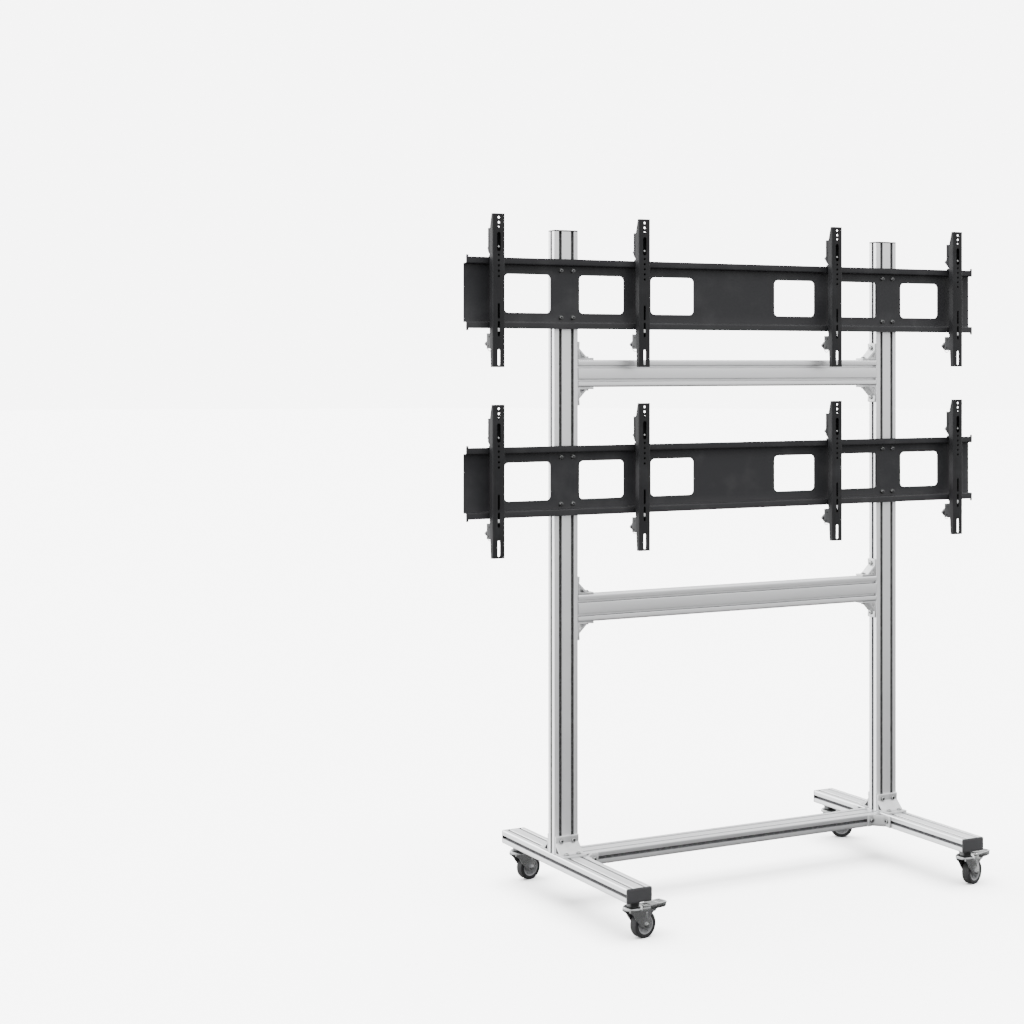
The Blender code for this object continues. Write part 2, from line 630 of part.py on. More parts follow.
def carriage_mesh():
    """Hook carriage: spine inside the arm, a jaw above the rail's windows and one below, hooks and knobs.

    Its origin is at the arm's face, on the rail's centre line.
    """
    lip = RAIL_HEIGHT / 2
    lip_front = ARM_FRONT - SEAT - RAIL_DEPTH - SEAT
    lip_back = lip_front + RAIL_SHEET + 2 * SEAT
    hook_back, over, root = lip_back + HOOK_SHEET, lip + SEAT, SPINE_OFFSET + SPINE_SHEET - SINK
    hook = [(root, lip - HOOK_DROP), (lip_front, lip - HOOK_DROP), (lip_front, over), (lip_back, over),
            (lip_back, lip - HOOK_DROP), (hook_back, lip - HOOK_DROP), (hook_back, over + HOOK_SHEET),
            (root, over + HOOK_SHEET)]
    latch = [(root, HOOK_DROP - lip), (root, -over - HOOK_SHEET), (hook_back, -over - HOOK_SHEET),
             (hook_back, LATCH_RISE - lip), (lip_back, LATCH_RISE - lip), (lip_back, -over),
             (lip_front, -over), (lip_front, HOOK_DROP - lip)]
    spine = block((-SPINE_WIDE / 2, SPINE_OFFSET + WELD, JAW_LOWER[1] - SINK),
                  (SPINE_WIDE / 2, SPINE_OFFSET + SPINE_SHEET - WELD, SPINE_TOP))
    prongs = [moved(plate([hook], HOOK_SHEET), Matrix.Translation((side * HOOK_SPREAD / 2, 0, 0)) @ FACE_SIDE)
              for side in (-1, 1)]
    tongue = moved(plate([latch], LATCH_WIDE), FACE_SIDE)
    guides = [(ARM_RISE - (start + end) / 2, wide / 2 - SEAT)
              for start, end, wide in (ARM_GUIDE_SLOT, ARM_SLOTS[1])]
    pins = [rod((0, SPINE_OFFSET + SINK, z), (0, PIN_INSET, z), radius, FINE) for z, radius in guides]
    low, _, rear = JAW_UPPER
    trim = rod((0, SPINE_OFFSET + SINK, TRIM_SCREW_Z), (0, rear, TRIM_SCREW_Z), TRIM_SCREW_RADIUS, BOLT_SIDES)
    necks, knobs = zip(hand_knob(KNOB_UPPER_RADIUS, KNOB_UPPER_REACH, rear, KNOB_UPPER_Z),
                       hand_knob(KNOB_LOWER_RADIUS, KNOB_LOWER_REACH, JAW_LOWER[2], KNOB_LOWER_Z))
    out = JAW_WIDE / 2 + SINK
    chamfer = moved(plate([[(rear - JAW_CHAMFER, low - SINK), (rear + SINK, low - SINK),
                            (rear + SINK, low + JAW_CHAMFER)]], 2 * out), FACE_SIDE)
    eye_at = (rear - JAW_EYE[0], low + JAW_EYE[1])
    eye = rod((-out, *eye_at), (out, *eye_at), JAW_HOLE_RADIUS, FINE)
    slot = moved(plate([upright_slot(0, JAW_SLOT[1], JAW_SLOT[0], JAW_SLOT[2])], 4 * JAW_SHEET),
                 Matrix.Translation((0, rear, 0)) @ FACE_FRONT)
    body = combine(spine, unions=[[jaw(*JAW_UPPER), jaw(*JAW_LOWER)], prongs + [tongue, trim] + pins],
                   cuts=[[chamfer, eye, slot]])
    return combine(body, unions=[list(necks), list(knobs)])


def build_arms():
    arm, carriage = arm_mesh(), carriage_mesh()
    for level, z in (("upper", RAIL_UPPER_Z), ("lower", RAIL_LOWER_Z)):
        for number, x in enumerate(ARM_POSITIONS, start=1):
            hanger = bpy.data.objects.new(f"arm_seat_{level}_{number}", None)
            PARTS.objects.link(hanger)
            hanger.location = (x, ARM_FACE_Y, z)
            place_part(f"hook_carriage_{level}_{number}", carriage, "powder_black", parent=hanger)
            place_part(f"display_arm_{level}_{number}", arm, "powder_black", (0, 0, ARM_RISE), parent=hanger)


def mount_mesh():
    """Fixed top of a caster: disc against the foot, race and kingpin. Its origin is on the floor."""
    top = CASTER_HEIGHT - SEAT
    race = FORK_CROWN_Z + FORK_HEAD_DROP + 2 * SEAT
    pin = FORK_CROWN_Z - 0.0035
    profile = [(0, top), (MOUNT_DISC_RADIUS, top), (MOUNT_DISC_RADIUS, top - MOUNT_DISC_THICK),
               (RACE_RADIUS, race), (KINGPIN_RADIUS, race), (KINGPIN_RADIUS, pin), (0, pin)]
    return turned(profile, ROUND)


def fork_mesh():
    """Swivelling fork: dished head, two legs and the axle, trailing along +X from the swivel axis."""
    inner, crown, bore = FORK_GAP / 2, FORK_CROWN_Z, KINGPIN_RADIUS + SEAT
    rim, drop, half = FORK_HEAD_RADIUS, FORK_HEAD_DROP, FORK_GAP / 2 + FORK_SHEET
    head = turned([(bore, crown + drop), (rim - drop, crown + drop), (rim, crown), (rim, crown - 0.002),
                   (bore, crown - 0.002)], ROUND)
    x, z = CASTER_TRAIL, WHEEL_RADIUS
    pivot_x, pivot_z = PEDAL_PIVOT
    leg = [(0.004 - rim, crown), (0.004 - rim, crown - 0.008), (-0.012, crown - 0.017),
           (-0.003, crown - 0.0295), (x - 0.0205, z - 0.003), *arc((x, z), FORK_EYE_RADIUS, 215, 350, 4),
           (FORK_WAIST, z + 0.022), (pivot_x - 0.009, pivot_z - 0.012),
           *arc((pivot_x, pivot_z), PEDAL_EAR_RADIUS, -60, 60, 2), (pivot_x - 0.002, crown)]
    legs = [moved(plate([leg], FORK_SHEET),
                  Matrix.Translation((0, side * (inner + FORK_SHEET / 2), 0)) @ FACE_FRONT)
            for side in (-1, 1)]
    tight = half - SINK / 2
    bridge = block((-0.021, -tight, crown - 0.0025), (FORK_WAIST, tight, crown - SINK / 2))
    axle = rod((x, -half - SINK, z), (x, half + SINK, z), AXLE_RADIUS, ROUND)
    nuts = [rod((x, side * tight, z), (x, side * (half + AXLE_HEAD_HEIGHT), z), AXLE_HEAD_RADIUS, 6)
            for side in (-1, 1)]
    pin = rod((pivot_x, -tight, pivot_z), (pivot_x, tight, pivot_z), PEDAL_PIN_RADIUS, FINE)
    king_bore = rod((0, 0, crown - 0.004), (0, 0, crown + 0.004), bore, ROUND)
    return combine(head, unions=[[bridge], legs, [axle, pin], nuts], cuts=[[king_bore]])


def wheel_mesh():
    """Tyre and hub about the axle, which lies along Y through the origin."""
    half, tread, bore, s = WHEEL_WIDE / 2, WHEEL_RADIUS, AXLE_RADIUS + AXLE_CLEARANCE, TYRE_SHOULDER
    top = [(bore, half), (BOSS_RADIUS, half), (BOSS_RADIUS, half - HUB_RECESS),
           (HUB_RADIUS, half - HUB_RECESS), (HUB_RADIUS, half), (tread - s, half), (tread, half - s)]
    return turned(top + [(r, -h) for r, h in reversed(top)], ROUND, FACE_FRONT)


def pedal_mesh():
    """Brake pedal about its pin, which lies along Y through the origin; it reaches out along +X."""
    half = FORK_GAP / 2 - 2 * SEAT
    barrel = moved(plate([circle((0, 0), PEDAL_BARREL_RADIUS, BOLT_SIDES),
                          circle((0, 0), PEDAL_PIN_RADIUS + 2 * SEAT, FINE)], 2 * half), FACE_FRONT)
    start, end = PEDAL_START - PEDAL_PIVOT[0], PEDAL_REACH - PEDAL_PIVOT[0]
    wide, r, deck_top = PEDAL_WIDE / 2, PEDAL_CORNER, PEDAL_RISE + PEDAL_SHEET
    tread = [(start, wide - r), (start, r - wide), (start + r, -wide),
             *arc((end - r, r - wide), r, 270, 360, 2),
             *arc((end - r, wide - r), r, 0, 90, 2), (start + r, wide)]
    web_top = PEDAL_RISE + SINK / 2
    side = [(-0.0008, 0.0036), (0.0036, 0.0008), (0.018, web_top), (-0.012, web_top)]
    webs = [moved(plate([side], 0.003), Matrix.Translation((0, face * (half - 0.003), 0)) @ FACE_FRONT)
            for face in (-1, 1)]
    toe = block((end - 0.003, r - wide, deck_top - SINK), (end - SINK / 2, wide - r, deck_top + PEDAL_TOE))
    return combine(barrel, unions=[webs, [plate([tread], PEDAL_SHEET, start=PEDAL_RISE)], [toe]])


def build_casters():
    mount, fork, wheel, pedal = mount_mesh(), fork_mesh(), wheel_mesh(), pedal_mesh()
    for end, way in ENDS:
        for side, sign in SIDES:
            at = Vector((sign * POST_X, way * (FOOT_LENGTH / 2 + CAP_THICKNESS - CASTER_INSET), 0))
            turn = CASTER_TURN[f"{end}_{side}"]
            swivel = bpy.data.objects.new(f"swivel_{end}_{side}", None)
            PARTS.objects.link(swivel)
            swivel.location = at
            swivel.rotation_euler = (0, 0, math.radians(turn))
            place_part(f"caster_mount_{end}_{side}", mount, "chrome", at)
            place_part(f"caster_fork_{end}_{side}", fork, "chrome", parent=swivel)
            place_part(f"caster_wheel_{end}_{side}", wheel, "tyre_grey", (CASTER_TRAIL, 0, WHEEL_RADIUS),
                       parent=swivel)
            place_part(f"brake_pedal_{end}_{side}", pedal, "chrome", (PEDAL_PIVOT[0], 0, PEDAL_PIVOT[1]),
                       parent=swivel)


def main():
    base, bar_start = build_frame()
    build_base_crossbar(base, bar_start)
    build_brackets()
    build_rails()
    build_arms()
    build_casters()


main()
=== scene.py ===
"""Looks of the mobile video wall stand: aluminium frame, black display rails and arms, braked casters.

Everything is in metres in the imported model's own frame: +Z up, floor at Z 0, displays on the -Y side.
"""
import json
import logging
import math
from dataclasses import dataclass
from enum import Enum
from typing import Iterable, Sequence, Union

import bmesh
import bpy
from mathutils import Matrix, Vector


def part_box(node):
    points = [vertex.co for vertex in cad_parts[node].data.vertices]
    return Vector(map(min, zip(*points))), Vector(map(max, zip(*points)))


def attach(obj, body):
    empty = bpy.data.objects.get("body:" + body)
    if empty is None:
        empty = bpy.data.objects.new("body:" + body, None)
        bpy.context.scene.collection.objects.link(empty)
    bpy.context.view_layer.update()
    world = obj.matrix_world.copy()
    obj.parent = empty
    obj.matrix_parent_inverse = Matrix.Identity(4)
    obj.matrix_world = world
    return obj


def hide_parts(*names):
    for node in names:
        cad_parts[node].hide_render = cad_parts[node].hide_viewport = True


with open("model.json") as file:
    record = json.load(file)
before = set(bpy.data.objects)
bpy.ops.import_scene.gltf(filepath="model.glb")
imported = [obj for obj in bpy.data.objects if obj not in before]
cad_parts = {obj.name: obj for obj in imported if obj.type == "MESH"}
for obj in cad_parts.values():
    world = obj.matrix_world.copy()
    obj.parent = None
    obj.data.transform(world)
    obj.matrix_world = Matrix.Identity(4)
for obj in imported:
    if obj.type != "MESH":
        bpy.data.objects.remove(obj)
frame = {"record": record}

log = logging.getLogger("video_wall_stand")

Point = tuple[float, float]
Loop = Sequence[Point]
Value = Union["Wire", float, tuple]

SIDES = (("left", -1), ("right", 1))
ENDS = (("front", -1), ("rear", 1))
LEVELS = ("upper", "lower")
ARMS = (1, 2, 3, 4)

STAND_UP = Matrix.Rotation(math.radians(90), 4, "X")     # outline x to X, y to Z, thick towards -Y
STAND_ASIDE = Matrix(((0, 0, 1, 0), (1, 0, 0, 0), (0, 1, 0, 0), (0, 0, 0, 1)))  # x to Y, y to Z, thick to X
ALONG_X = Matrix.Rotation(math.radians(90), 4, "Y")
ALONG_Y = Matrix.Rotation(math.radians(-90), 4, "X")

WELD = 1e-6                             # points closer than this are one
LEAST_RADIUS = 1e-5                     # corner of a block whose edges stay sharp
BEVEL_ANGLE = math.radians(40)          # edges sharper than this are rounded
SHARP_ANGLE = math.radians(32)          # edges sharper than this are shaded sharp


class Grain(Enum):
    """Direction in which a bar was drawn through its die."""

    X = (1.0, 60.0, 60.0)
    Y = (60.0, 1.0, 60.0)
    Z = (60.0, 60.0, 1.0)


class Wire:
    """A shader socket with arithmetic, so that a pattern reads like a formula."""

    def __init__(self, graph: "Graph", socket: bpy.types.NodeSocket) -> None:
        """Wrap an output socket of a graph."""
        self.graph = graph
        self.socket = socket

    def __add__(self, other: Value) -> "Wire":
        """Sum of two values."""
        return self.graph.maths("ADD", self, other)

    def __radd__(self, other: Value) -> "Wire":
        """Sum with a plain number on the left."""
        return self.graph.maths("ADD", other, self)

    def __sub__(self, other: Value) -> "Wire":
        """Difference of two values."""
        return self.graph.maths("SUBTRACT", self, other)

    def __rsub__(self, other: Value) -> "Wire":
        """Difference with a plain number on the left."""
        return self.graph.maths("SUBTRACT", other, self)

    def __mul__(self, other: Value) -> "Wire":
        """Product of two values."""
        return self.graph.maths("MULTIPLY", self, other)

    def __rmul__(self, other: Value) -> "Wire":
        """Product with a plain number on the left."""
        return self.graph.maths("MULTIPLY", other, self)

    def above(self, low: float, high: float) -> "Wire":
        """Rise smoothly from 0 at one value to 1 at another.

        Args:
            low: Value at which the rise starts.
            high: Value at which it ends.

        Returns:
            The share of the rise, from 0 to 1.
        """
        return self.graph.node("ShaderNodeMapRange", {"interpolation_type": "SMOOTHSTEP", "clamp": True},
                               {"Value": self, "From Min": low, "From Max": high})


class Graph:
    """A node graph of a material or a world."""

    def __init__(self, tree: bpy.types.NodeTree, coordinates: str) -> None:
        """Take over a node tree and pick the coordinates that its patterns use."""
        self.tree = tree
        self.place = self.node("ShaderNodeTexCoord", output=coordinates)

    def node(self, kind: str, settings: dict | None = None, inputs: dict | None = None,
             output: Union[int, str] = 0) -> Wire:
        """Add a node and wire or set its inputs.

        Args:
            kind: Node type name.
            settings: Attributes to set on the node.
            inputs: Input names or numbers with their wires or values.
            output: Which output to return.

        Returns:
            The chosen output.
        """
        made = self.tree.nodes.new(kind)
        for key, value in (settings or {}).items():
            setattr(made, key, value)
        for key, value in (inputs or {}).items():
            if isinstance(value, Wire):
                self.tree.links.new(value.socket, made.inputs[key])
            else:
                made.inputs[key].default_value = value
        return Wire(self, made.outputs[output])

    def maths(self, operation: str, first: Value, second: Value = 0.0) -> Wire:
        """One step of arithmetic between two values."""
        return self.node("ShaderNodeMath", {"operation": operation}, {0: first, 1: second})

    def mix(self, share: Value, first: Value, second: Value) -> Wire:
        """Blend two colours.

        Args:
            share: How much of the second colour shows.
            first: Colour at share 0.
            second: Colour at share 1.

        Returns:
            The blended colour.
        """
        colours = [(*c, 1.0) if isinstance(c, tuple) and len(c) == 3 else c for c in (first, second)]
        return self.node("ShaderNodeMix", {"data_type": "RGBA"}, {0: share, 6: colours[0], 7: colours[1]}, 2)

    def stretched(self, scale: Sequence[float]) -> Wire:
        """The object's own coordinates, scaled apart along each axis."""
        return self.node("ShaderNodeVectorMath", {"operation": "MULTIPLY"}, {0: self.place, 1: tuple(scale)})

    def noise(self, scale: float, detail: float = 2.0, place: Wire | None = None) -> Wire:
        """Fractal noise of a given scale, from 0 to 1.

        Args:
            scale: Features per metre.
            detail: Number of finer layers.
            place: Coordinates to use, the object's own when left out.

        Returns:
            The noise value.
        """
        return self.node("ShaderNodeTexNoise", None,
                         {"Vector": place or self.place, "Scale": scale, "Detail": detail})


class Surface(Graph):
    """The node graph of a material."""

    def __init__(self, name: str, colour: Sequence[float], metallic: float, roughness: float,
                 gloss: float = 0.5) -> None:
        """Start a material with plain values on its shader.

        Args:
            name: Name of the material.
            colour: Base colour.
            metallic: 1 for bare metal, 0 for paint.
            roughness: Roughness of the skin.
            gloss: Share of mirror reflection.
        """
        self.material = bpy.data.materials.new(name)
        self.material.use_nodes = True
        super().__init__(self.material.node_tree, "Object")
        self.shader = self.tree.nodes["Principled BSDF"]
        self.shader.inputs["Base Color"].default_value = (*colour, 1.0)
        self.shader.inputs["Metallic"].default_value = metallic
        self.shader.inputs["Roughness"].default_value = roughness
        self.shader.inputs["Specular IOR Level"].default_value = gloss

    def feed(self, **wires: Wire) -> "Surface":
        """Connect wires to the shader's inputs, named with underscores for spaces.

        Args:
            wires: Wires by the name of their input, with underscores for spaces.

        Returns:
            The graph itself.
        """
        for name, wire in wires.items():
            self.tree.links.new(wire.socket, self.shader.inputs[name.replace("_", " ")])
        return self

    def bump(self, height: Wire, strength: float, distance: float) -> "Surface":
        """Raise the surface by a height pattern.

        Args:
            height: Height pattern from 0 to 1.
            strength: Share of the effect.
            distance: Height of the pattern in metres.

        Returns:
            The graph itself.
        """
        return self.feed(Normal=self.node("ShaderNodeBump", None, {
            "Height": height, "Strength": strength, "Distance": distance}))


@dataclass(frozen=True)
class Anodised:
    """Drawn aluminium with a satin clear anodised skin and fine die lines along its length."""

    grain: Grain
    colour: tuple[float, float, float] = (0.74, 0.745, 0.755)
    line_scale: float = 7.0
    roughness: float = 0.36
    metallic: float = 0.86
    cloud_scale: float = 9.0
    line_depth: float = 0.00006

    def material(self, name: str) -> bpy.types.Material:
        """Make the material.

        Args:
            name: Name of the material.

        Returns:
            The material.
        """
        graph = Surface(name, self.colour, self.metallic, self.roughness)
        lines = graph.noise(self.line_scale, 5.0, graph.stretched(self.grain.value))
        cloud = graph.noise(self.cloud_scale, 3.0)
        darkened = tuple(0.90 * c for c in self.colour)
        graph.feed(Base_Color=graph.mix(lines * 0.6 + cloud * 0.4, darkened, self.colour),
                   Roughness=self.roughness - 0.05 + lines * 0.08 + cloud.above(0.35, 0.75) * 0.05)
        return graph.bump(lines, 0.25, self.line_depth).material


@dataclass(frozen=True)
class SlotShade:
    """Painted shade inside a profile's slot: a dark, rough surface that stands for the shadow there, with
    lighter dust patches.
    """

    colour: tuple[float, float, float] = (0.105, 0.106, 0.109)
    roughness: float = 0.75
    gloss: float = 0.1
    dust_scale: float = 120.0

    def material(self, name: str) -> bpy.types.Material:
        """Make the material.

        Args:
            name: Name of the material.

        Returns:
            The material.
        """
        graph = Surface(name, self.colour, 0.0, self.roughness, self.gloss)
        dust = graph.noise(self.dust_scale, 4.0)
        light = tuple(1.5 * c for c in self.colour)
        return graph.feed(Base_Color=graph.mix(dust.above(0.4, 0.7), self.colour, light),
                          Roughness=self.roughness - 0.10 + dust * 0.2).material


@dataclass(frozen=True)
class PowderCoat:
    """Baked powder paint with its orange peel and lightly rubbed patches."""

    colour: tuple[float, float, float] = (0.015, 0.015, 0.017)
    rubbed: tuple[float, float, float] = (0.032, 0.032, 0.034)
    roughness: float = 0.46
    peel_scale: float = 700.0
    gloss: float = 0.25
    cloud_scale: float = 14.0
    speck_scale: float = 2600.0
    peel_depth: float = 0.00012

    def material(self, name: str) -> bpy.types.Material:
        """Make the material.

        Args:
            name: Name of the material.

        Returns:
            The material.
        """
        graph = Surface(name, self.colour, 0.0, self.roughness, self.gloss)
        peel = graph.noise(self.peel_scale, 2.0)
        cloud = graph.noise(self.cloud_scale, 4.0)
        speck = graph.noise(self.speck_scale, 1.0)
        graph.feed(Base_Color=graph.mix(cloud.above(0.45, 0.8) * 0.7 + speck * 0.2, self.colour, self.rubbed),
                   Roughness=self.roughness - 0.06 + cloud * 0.12 + peel * 0.06)
        return graph.bump(peel * 0.8 + speck * 0.2, 0.35, self.peel_depth).material


@dataclass(frozen=True)
class CastMetal:
    """Die cast zinc or aluminium, tumbled, with a fine grain."""

    colour: tuple[float, float, float] = (0.60, 0.605, 0.61)
    roughness: float = 0.44
    metallic: float = 0.8
    grain_scale: float = 900.0
    flow_scale: float = 45.0
    grain_depth: float = 0.0002

    def material(self, name: str) -> bpy.types.Material:
        """Make the material.

        Args:
            name: Name of the material.

        Returns:
            The material.
        """
        graph = Surface(name, self.colour, self.metallic, self.roughness)
        grain = graph.noise(self.grain_scale, 3.0)
        flow = graph.noise(self.flow_scale, 4.0)
        dark = tuple(0.78 * c for c in self.colour)
        graph.feed(Base_Color=graph.mix(flow.above(0.3, 0.7) * 0.7 + grain * 0.3, dark, self.colour),
                   Roughness=self.roughness - 0.08 + flow * 0.14 + grain * 0.04)
        return graph.bump(grain, 0.3, self.grain_depth).material


@dataclass(frozen=True)
class PlatedSteel:
    """Pressed or turned steel with bright zinc plating and its faint cloudy passivation."""

    colour: tuple[float, float, float] = (0.62, 0.63, 0.645)
    roughness: float = 0.24
    cloud_scale: float = 60.0
    scratch_scale: float = 30.0
    # how far the grain is drawn out along each axis
    drawn: tuple[float, float, float] = (1.0, 14.0, 14.0)
    scratch_depth: float = 0.00008

    def material(self, name: str) -> bpy.types.Material:
        """Make the material.

        Args:
            name: Name of the material.

        Returns:
            The material.
        """
        graph = Surface(name, self.colour, 1.0, self.roughness)
        cloud = graph.noise(self.cloud_scale, 4.0)
        scratch = graph.noise(self.scratch_scale, 6.0, graph.stretched(self.drawn))
        tint = (self.colour[0] * 0.86, self.colour[1] * 0.87, self.colour[2] * 0.84)
        graph.feed(Base_Color=graph.mix(1 - cloud.above(0.35, 0.7), self.colour, tint),
                   Roughness=self.roughness - 0.05 + scratch * 0.10 + cloud * 0.06)
        return graph.bump(scratch, 0.15, self.scratch_depth).material


@dataclass(frozen=True)
class MouldedPlastic:
    """Injection moulded plastic with a spark-eroded texture."""

    colour: tuple[float, float, float] = (0.040, 0.040, 0.043)
    roughness: float = 0.48
    grain_scale: float = 1400.0
    cloud_scale: float = 40.0
    grain_depth: float = 0.00012

    def material(self, name: str) -> bpy.types.Material:
        """Make the material.

        Args:
            name: Name of the material.

        Returns:
            The material.
        """
        graph = Surface(name, self.colour, 0.0, self.roughness)
        grain = graph.noise(self.grain_scale, 2.0)
        cloud = graph.noise(self.cloud_scale, 3.0)
        light = tuple(1.35 * c for c in self.colour)
        graph.feed(Base_Color=graph.mix(cloud * 0.6 + grain * 0.4, self.colour, light),
                   Roughness=self.roughness - 0.04 + cloud * 0.10)
        return graph.bump(grain, 0.3, self.grain_depth).material


@dataclass(frozen=True)
class TyreRubber:
    """Grey-black tread rubber, scuffed and a little dusty."""

    colour: tuple[float, float, float] = (0.016, 0.016, 0.017)
    dust: tuple[float, float, float] = (0.060, 0.058, 0.056)
    roughness: float = 0.62
    gloss: float = 0.2
    scuff_scale: float = 180.0
    cloud_scale: float = 35.0
    scuff_depth: float = 0.00025

    def material(self, name: str) -> bpy.types.Material:
        """Make the material.

        Args:
            name: Name of the material.

        Returns:
            The material.
        """
        graph = Surface(name, self.colour, 0.0, self.roughness, self.gloss)
        scuff = graph.noise(self.scuff_scale, 5.0)
        cloud = graph.noise(self.cloud_scale, 3.0)
        worn = scuff.above(0.5, 0.8) * cloud.above(0.3, 0.7)
        graph.feed(Base_Color=graph.mix(worn, self.colour, self.dust),
                   Roughness=self.roughness - 0.10 + scuff * 0.2)
        return graph.bump(scuff, 0.35, self.scuff_depth).material


@dataclass(frozen=True)
class StudioFloor:
    """Pale seamless floor with a barely uneven sheen."""

    colour: tuple[float, float, float] = (0.88, 0.88, 0.88)
    roughness: float = 0.7
    cloud_scale: float = 1.5

    def material(self, name: str) -> bpy.types.Material:
        """Make the material.

        Args:
            name: Name of the material.

        Returns:
            The material.
        """
        graph = Surface(name, self.colour, 0.0, self.roughness, 0.0)
        cloud = graph.noise(self.cloud_scale, 3.0)
        deep = tuple(0.985 * c for c in self.colour)
        return graph.feed(Base_Color=graph.mix(cloud, deep, self.colour),
                          Roughness=self.roughness - 0.08 + cloud * 0.12).material


class Finish(Enum):
    """The finishes used on the stand."""

    BAR_X = Anodised(Grain.X)
    BAR_Y = Anodised(Grain.Y)
    # painted light: the posts' aluminium is made lighter than the other bars' to brighten their faces
    BAR_Z = Anodised(Grain.Z, (0.79, 0.795, 0.805))
    # painted shade: the base crossbar's aluminium is made darker than the other bars'
    BAR_LOW = Anodised(Grain.X, (0.60, 0.605, 0.615))
    # painted shade: dark finish for the shadowed insides of the profiles' slots
    SLOT = SlotShade()
    RAIL = PowderCoat()
    ARM = PowderCoat((0.014, 0.014, 0.015), (0.028, 0.028, 0.030), 0.46, 850.0, 0.12)
    JAW_DARK = PowderCoat((0.012, 0.0122, 0.013), (0.024, 0.0245, 0.026), 0.50, 600.0, 0.06)
    JAW_LIGHT = PlatedSteel((0.021, 0.0215, 0.0225), 0.34)
    CAST = CastMetal()
    BOLT = PlatedSteel((0.36, 0.363, 0.37), 0.18)
    BLACK_BOLT = PlatedSteel((0.13, 0.131, 0.134), 0.16)
    # painted shade: dark discs at the floors of the bolts' sockets
    SOCKET = MouldedPlastic((0.020, 0.020, 0.022), 0.6)
    FORK = PlatedSteel((0.46, 0.465, 0.475), 0.24)
    # painted shade: the mount's disc, race and kingpin under the foot cap are made darker than plated steel
    MOUNT = PlatedSteel((0.11, 0.111, 0.114), 0.12)
    # the swivel head's bright and dark bands are reflections, and its plating is made darker, painted shade
    RACE = PlatedSteel((0.27, 0.273, 0.28), 0.10)
    # painted shade on the pedal's deck, made darker than its bead, and a painted highlight on the bead
    PEDAL = PlatedSteel((0.20, 0.202, 0.207), 0.24)
    BEAD = PlatedSteel((0.62, 0.625, 0.635), 0.16)
    CAP = MouldedPlastic((0.026, 0.026, 0.028), 0.46)
    KNOB = MouldedPlastic((0.018, 0.018, 0.020), 0.36, 900.0)
    HUB = MouldedPlastic((0.17, 0.172, 0.178), 0.42)
    TYRE = TyreRubber()
    FLOOR = StudioFloor()


class Draw:
    """Outlines for flat shapes, as loops of points."""

    @staticmethod
    def arc(centre: Point, radius: float, start: float, end: float, steps: int = 6) -> list[Point]:
        """Points on an arc, with angles in degrees."""
        turns = [math.radians(start + (end - start) * i / steps) for i in range(steps + 1)]
        return [(centre[0] + radius * math.cos(t), centre[1] + radius * math.sin(t)) for t in turns]

    @staticmethod
    def circle(centre: Point, radius: float, steps: int = 24) -> list[Point]:
        """Points on a full circle."""
        return Draw.arc(centre, radius, 0, 360 * (steps - 1) / steps, steps - 1)

    @staticmethod
    def box(centre: Point, wide: float, tall: float, radius: float, steps: int = 6) -> list[Point]:
        """Rectangle with round corners.

        Args:
            centre: Middle of the rectangle.
            wide: Size along the first axis.
            tall: Size along the second axis.
            radius: Radius of the corners.
            steps: Facets in each corner.

        Returns:
            The loop, anticlockwise.
        """
        x, y = wide / 2 - radius, tall / 2 - radius
        points: list[Point] = []
        for across, up, turn in ((x, y, 0), (-x, y, 90), (-x, -y, 180), (x, -y, 270)):
            points += Draw.arc((centre[0] + across, centre[1] + up), radius, turn, turn + 90, steps)
        return points

    @staticmethod
    def slot(top: float, bottom: float, wide: float, across: float = 0.0) -> list[Point]:
        """Upright slot with round ends."""
        r = wide / 2
        return Draw.arc((across, top - r), r, 0, 180, 8) + Draw.arc((across, bottom + r), r, 180, 360, 8)

    @staticmethod
    def lobes(radius: float, count: int, depth: float, steps: int = 6) -> list[Point]:
        """Wavy circle of a hand knob.

        Args:
            radius: Outer radius.
            count: Number of lobes.
            depth: Depth of the hollows as a share of the radius.
            steps: Points for each lobe.

        Returns:
            The loop.
        """
        turns = [2 * math.pi * i / (count * steps) for i in range(count * steps)]
        radii = [radius * (1 - depth / 2 + depth / 2 * math.cos(count * t)) for t in turns]
        return [(r * math.cos(t), r * math.sin(t)) for r, t in zip(radii, turns)]


